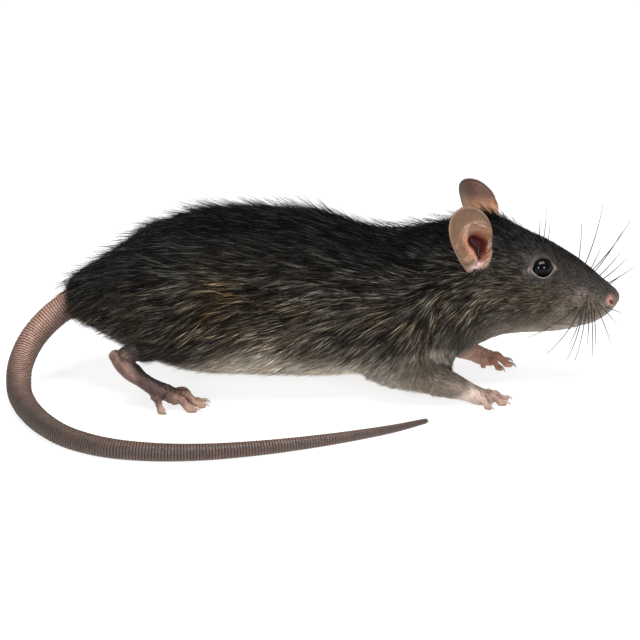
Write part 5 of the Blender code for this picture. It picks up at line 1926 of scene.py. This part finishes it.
    def guard_hairs(self, workshop: Workshop, skin: Form, finish: Material, draw) -> None:
        """Long fine dark hairs that stand out of back, neck and rump and lie flat on the flanks.

        Args:
            workshop: puts the pieces on the model.
            skin: the skin that the hairs are rooted on.
            finish: their material.
            draw: the source of chance.
        """
        x, v = skin.points[:, 0], self.trunk.height_share(skin.points)
        along = np.interp(x, (-82, -70, 20, 46, 58, 70, 80), (1, 0.6, 0.5, 0.7, 0.5, 0.15, 0))
        crown = bell((x - 54) / 6) * ease(v, 0.85, 0.95)
        belly = 0.25 * fade(v, 0.1, 0.25) * (x > -45) * (x < 5)
        density = along * (0.12 * ease(v, 0.2, 0.4) + 0.62 * ease(v, 0.6, 0.97)) + 2.2 * crown + belly
        density = density * (1 - self.legs.foot_share(skin.points))
        density = density * ease(apart(skin.points, TAIL_ROOT), 4, 5.5) * (x < 80)
        roots, out = scattered(skin, density, draw)
        count, v = len(roots), self.trunk.height_share(roots)
        mean = self.markings.coat(roots)
        mean = np.minimum(mean, linear((62, 58, 54)))
        shade = np.stack([mean * 0.3, mean * 0.25, mean * 0.5], axis=1)
        lengths = np.interp(roots[:, 0], self.guard_places, self.guard_lengths)
        lengths = lengths * draw.uniform(0.7, 1.25, count)
        high = ease(v, 0.6, 0.95)
        crown = bell((roots[:, 0] - 54) / 6) * ease(v, 0.85, 0.95) * (draw.uniform(size=count) < 0.75)
        hairs = TuftSet(
            roots,
            out,
            unit(self.lie(roots, out) + 0.1 * draw.normal(size=(count, 3))),
            lengths * np.interp(v, (0, 0.5), (0.38, 0.9)) * (1 - 0.2 * crown),
            np.full(count, 0.22) * draw.uniform(0.8, 1.2, count),
            np.radians(np.clip(10 + 19 * high + draw.normal(0, 4, count) * (0.4 + 0.6 * high), 5, 40) + 22 * crown),
            shade,
            self.places(roots),
            np.full(count, 0.25),
        )
        for side in Side:
            own = hairs.pick(side.out(roots) > 0)
            own.build(workshop, f"guard_hairs_{side.word}", finish, "dark_fur", rings=3)


@dataclass
class Whiskers:
    """Whiskers of the pads, the brows and the chin: long thin curved cones."""

    trunk: Trunk
    near: tuple = (
        ((82.4, 29.1), (66.3, 20, 22.4), 0.5), ((83.7, 28.1), (72.4, 20, 17), 0.6),
        ((84.6, 27.8), (79.7, 18, 19.3), 0.4), ((84.9, 29.3), (79, 19, 14.6), 0.6),
        ((85.9, 30.9), (81.9, 17, 13.9), 0.5), ((86.6, 28), (85.8, 15, 18), 0.3),
        ((87.2, 30.5), (87.4, 16, 14.1), 0.4), ((88.2, 28.8), (88.6, 14, 18), 0.3),
        ((88.6, 30.4), (93.7, 13, 18), 0.5), ((89.5, 30.3), (95.6, 11, 24.1), 0.3),
        ((92.1, 28.3), (97.4, 9, 27.2), 0.2), ((84.4, 33.4), (81.5, 21, 37), 0.4),
        ((86, 32.6), (84.5, 20, 33), 0.4),
    )
    far: tuple = (
        ((83.4, 33.6), (85.5, 14, 50.5), 0.8), ((84.6, 33.8), (92.5, 16, 56.2), 1),
        ((86.4, 33), (91.9, 13, 42.6), 0.6), ((86, 33.4), (101.5, 16, 50.7), 1.2),
        ((86.8, 32.4), (99, 15, 47.6), 1), ((88.2, 31.8), (98.8, 14, 41), 1),
        ((89.2, 31.2), (101, 14, 38.9), 1.1), ((90.2, 30.2), (103, 13, 35.9), 1),
        ((91.2, 29.6), (98.7, 10.5, 33.9), 0.5), ((84.6, 29.6), (72, 22, 26), 0.6),
        ((85.8, 27.6), (78, 21, 17), 0.6), ((87.2, 26.6), (86, 17, 14), 0.5),
        ((89, 27), (93, 14, 18.5), 0.4),
    )
    shaft_places: tuple = (0, 0.1, 0.6, 1)
    shaft_radii: tuple = (0.19, 0.19, 0.15, 0.08)
    brow_share: float = 0.75
    brows: tuple = (
        ((72.6, 47.6), (73.4, 8.2, 57.5), 0.4), ((71.2, 47.9), (71.4, 8.6, 52.9), 0.3),
    )

    def build(self, side: Side) -> tuple:
        """The whiskers of one side.

        Each is a cone whose middle line runs from its root to its tip and bows up and rearward between them
        by a share of its length, most in the middle.

        Returns:
            The form and the painted colours.
        """
        rows = (self.near if side is Side.RIGHT else self.far) + self.brows
        forms, colours = [], []
        t = np.linspace(0, 1, 15)
        for k, ((x, z), tip, bow) in enumerate(rows):
            brow = k >= len(rows) - len(self.brows)
            y = float(self.trunk.side_reach(np.array(x), np.array(z), -0.4))
            start, end = np.array([x, y, z]), np.array(tip, float)
            length = np.linalg.norm(end - start)
            bend = np.array([0.35, 0.8, -0.25]) if not brow else np.array([0.5, 0.4, 0.0])
            line = start + t[:, None] * (end - start)
            line = line + (4 * t * (1 - t) * bow * length * 0.13)[:, None] * bend
            line = np.concatenate([[start - unit(line[1] - line[0]) * 0.8], line])
            wide = np.interp(np.linspace(0, 1, len(line)), self.shaft_places, self.shaft_radii)
            wide = wide * (self.brow_share if brow else 1.0)
            made = carried(line * side.flip, wide, wide, 22, 6, (0.3, 0.2, 0.9), (False, False))
            share = np.clip(apart(made.points, start * side.flip) / length, 0, 1)
            forms.append(made)
            colours.append(blend(linear((22, 20, 20)), linear((52, 50, 50)), ease(share, 0.3, 1)))
        return Form.joined(forms), np.concatenate(colours)


@dataclass
class Studio:
    """Floor, light and camera."""

    floor_reach: float = 6.0
    surround: float = 0.45
    lamps: tuple = (
        ("key_lamp", (0.06, -0.22, 0.62), (0.0, 0.0, 0.02), (0.56, 0.26), 7.0),
        ("left_lamp", (-0.49, -0.815, 0.33), (0.0, 0.0, 0.03), (0.2, 0.2), 4.4),
        ("right_lamp", (0.49, -0.815, 0.33), (0.0, 0.0, 0.03), (0.2, 0.2), 4.4),
    )
    aim_height: float = 0.0219
    distance: float = 1.0
    elevation: float = 18.0
    lens: float = 172.8

    def floor(self) -> None:
        """A wide pale floor."""
        reach = self.floor_reach
        mesh = bpy.data.meshes.new("floor")
        corners = [(-reach, -reach, 0), (reach, -reach, 0), (reach, reach, 0), (-reach, reach, 0)]
        mesh.from_pydata(corners, [], [(0, 1, 2, 3)])
        mesh.materials.append(FloorFinish().make())
        put("floor", mesh)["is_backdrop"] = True

    def lamp(self, name: str, place: tuple, aim: tuple, size: tuple, watts: float) -> None:
        """A rectangular soft lamp that looks at a point."""
        data = bpy.data.lights.new(name, "AREA")
        data.shape, data.size, data.size_y, data.energy = "RECTANGLE", size[0], size[1], watts
        made = put(name, data)
        made.location = place
        made.rotation_euler = (Vector(aim) - Vector(place)).to_track_quat("-Z", "Y").to_euler()

    def light(self) -> None:
        """A big soft lamp overhead, two small ones by the camera and an even white surround."""
        world = bpy.data.worlds.new("surround")
        world.use_nodes = True
        inputs = world.node_tree.nodes["Background"].inputs
        inputs["Color"].default_value = (1.0, 1.0, 1.0, 1.0)
        inputs["Strength"].default_value = self.surround
        bpy.context.scene.world = world
        for lamp in self.lamps:
            self.lamp(*lamp)
        bpy.context.scene.view_settings.view_transform = "Standard"

    def camera(self, shift: np.ndarray) -> None:
        """The camera at the photograph's angle: it looks along +Y and a little down."""
        tilt = math.radians(self.elevation)
        aim = np.array([shift[0], shift[1], self.aim_height])
        data = bpy.data.cameras.new("camera")
        data.lens, data.sensor_width = self.lens, 36.0
        data.clip_start, data.clip_end = 0.01, 50.0
        made = put("camera", data)
        made.location = aim + self.distance * np.array([0.0, -math.cos(tilt), math.sin(tilt)])
        made.rotation_euler = (math.pi / 2 - tilt, 0.0, 0.0)
        bpy.context.scene.camera = made


@dataclass
class Rat:
    """The whole animal."""

    workshop: Workshop
    trunk: Trunk = field(default_factory=Trunk)
    legs: Legs = field(default_factory=Legs)

    def build(self) -> None:
        """Builds every piece in order."""
        eye = Eye(self.trunk)
        markings = Markings(self.trunk, self.legs)
        skin = Skin(self.trunk, self.legs).build(self.workshop)
        self.add_skin(skin, markings)
        self.add_eyes(eye)
        hair = HairFinish("hair_finish").make()
        self.add_ears(hair)
        self.add_tail()
        self.add_claws()
        for side in Side:
            form, colours = Whiskers(self.trunk).build(side)
            finish = HairFinish(f"whisker_finish_{side.word}", 0.4, 0.3).make()
            self.workshop.piece(f"whiskers_{side.word}", form, colours, finish, "grey_fur")
        Coat(self.trunk, self.legs, eye, markings).build(self.workshop, skin, hair)

    def add_skin(self, skin: Form, markings: Markings) -> None:
        """The skin, which stands for every node of flesh."""
        # Painted shade in the hollows of the skin and painted highlight on its ridges.
        shade = np.clip(1 - 2.6 * hollows(skin, 8), 0.25, 1.25)
        colours = markings.skin(skin.points) * shade[:, None]
        paired = ("whisker_pad", "upper_arm", "forearm", "fore_paw", "thigh", "shank", "hind_foot")
        nodes = ("torso", "neck", "head", "jaw", "nose")
        nodes += tuple(f"{name}_{side.word}" for side in Side for name in paired)
        self.workshop.piece("skin", skin, colours, SkinFinish("skin_finish").make(), "bare_skin", nodes)

    def add_eyes(self, eye: Eye) -> None:
        """Both eyeballs and their lids."""
        wet, lid_skin = WetFinish().make(), SkinFinish("lid_finish", 0.42, 0.00005, 0.08).make()
        for side in Side:
            ball = self.workshop.mesh(f"eyeball_{side.word}", eye.ball(side))
            self.workshop.show(ball, wet, "eye_gloss", (f"eye_{side.word}",))
            form, share = eye.lids(side)
            rim = blend(linear((104, 100, 106)), linear((40, 36, 38)), ease(form.points[:, 2], 43, 45))
            paint = blend(rim, linear((52, 45, 43)), ease(share, 0.15, 0.5))
            place = form.points * side.flip - eye.centre
            ends = bell((np.abs(place[:, 0]) - 4.6) / 0.9, (place[:, 2] - 0.1) / 1.1) * 0.8
            paint = blend(paint, linear((134, 104, 100)), ends)
            self.workshop.piece(f"lids_{side.word}", form, paint, lid_skin, "bare_skin")

    def add_ears(self, hair: Material) -> None:
        """Both ears with the fringe of their front edges."""
        finish = EarFinish().make()
        for side in Side:
            form, colours = Ear(side).build()
            nodes = (f"ear_{side.word}",)
            self.workshop.piece(f"ear_shell_{side.word}", form, colours, finish, "ear_skin", nodes)
            Ear(side).down().build(self.workshop, f"ear_fringe_{side.word}", hair, "ear_skin")

    def add_tail(self) -> None:
        """The tail and its short bristles."""
        tail = Tail()
        form, colours, scales = tail.build()
        mesh = self.workshop.mesh("tail", form)
        self.workshop.paint(mesh, colours)
        places = scales[read(mesh.loops, "vertex_index")]
        quads = len(form.quads) * 4
        turn = places[:quads, 0].reshape(-1, 4)
        wraps = (turn.max(1) - turn.min(1) > tail.scales_round / 2)[:, None] & (turn < tail.scales_round / 2)
        places[:quads, 0] = (turn + wraps * tail.scales_round).ravel()
        self.workshop.map_loops(mesh, "scales", places)
        self.workshop.show(mesh, ScaleFinish().make(), "tail_skin", tuple(f"tail_{i}" for i in range(1, 8)))
        roots, out, ways, share = tail.bristles()
        draw = np.random.default_rng(43)
        count = len(roots)
        tone = np.repeat((linear((56, 46, 41)) * draw.uniform(0.5, 1.6, count)[:, None])[:, None], 3, axis=1)
        turn = np.arctan2(out[:, 2], out[:, 1]) / (2 * math.pi) + 0.5
        bristles = TuftSet(
            roots,
            out,
            ways,
            draw.uniform(0.7, 1.3, count) * (1.5 - 0.4 * share),
            np.full(count, 0.07),
            np.radians(draw.uniform(8, 24, count)),
            tone,
            np.stack([0.02 + 0.94 * share, 0.02 + 0.94 * turn], axis=1),
            np.full(count, 0.4),
        )
        finish = HairFinish("bristle_finish", 0.5, 0.05).make()
        bristles.build(self.workshop, "tail_bristles", finish, "tail_skin", rings=1)

    def add_claws(self) -> None:
        """The claws of each foot."""
        finish = HornFinish().make()
        for side in Side:
            for limb in Limb:
                forms, colours = [], []
                for digit in self.legs.digits(limb):
                    if not digit.clawed:
                        continue
                    shift = self.legs.shift(limb, side)
                    made, share = digit.claw(side, shift, self.legs.claw_length, self.legs.claw_radius)
                    forms.append(made)
                    colours.append(blend(linear((116, 84, 74)), linear((158, 148, 138)), share))
                name = f"claws_{limb.value}_{side.word}"
                self.workshop.piece(name, Form.joined(forms), np.concatenate(colours), finish, "bare_skin")


def main() -> None:
    """Builds the rat, sets up the studio and takes the bounds of the shown objects."""
    logging.basicConfig(level=logging.INFO, format="%(message)s")
    low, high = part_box("eye_right")
    shift = np.array(low + high) / 2 - np.array(Eye.centre) * Side.RIGHT.flip * MM
    log.info("maker's frame stands at %s", np.round(shift, 6))
    studio = Studio()
    studio.camera(shift)
    Rat(Workshop(shift)).build()
    studio.floor()
    studio.light()
    low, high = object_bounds()


if __name__ == "__main__":
    main()
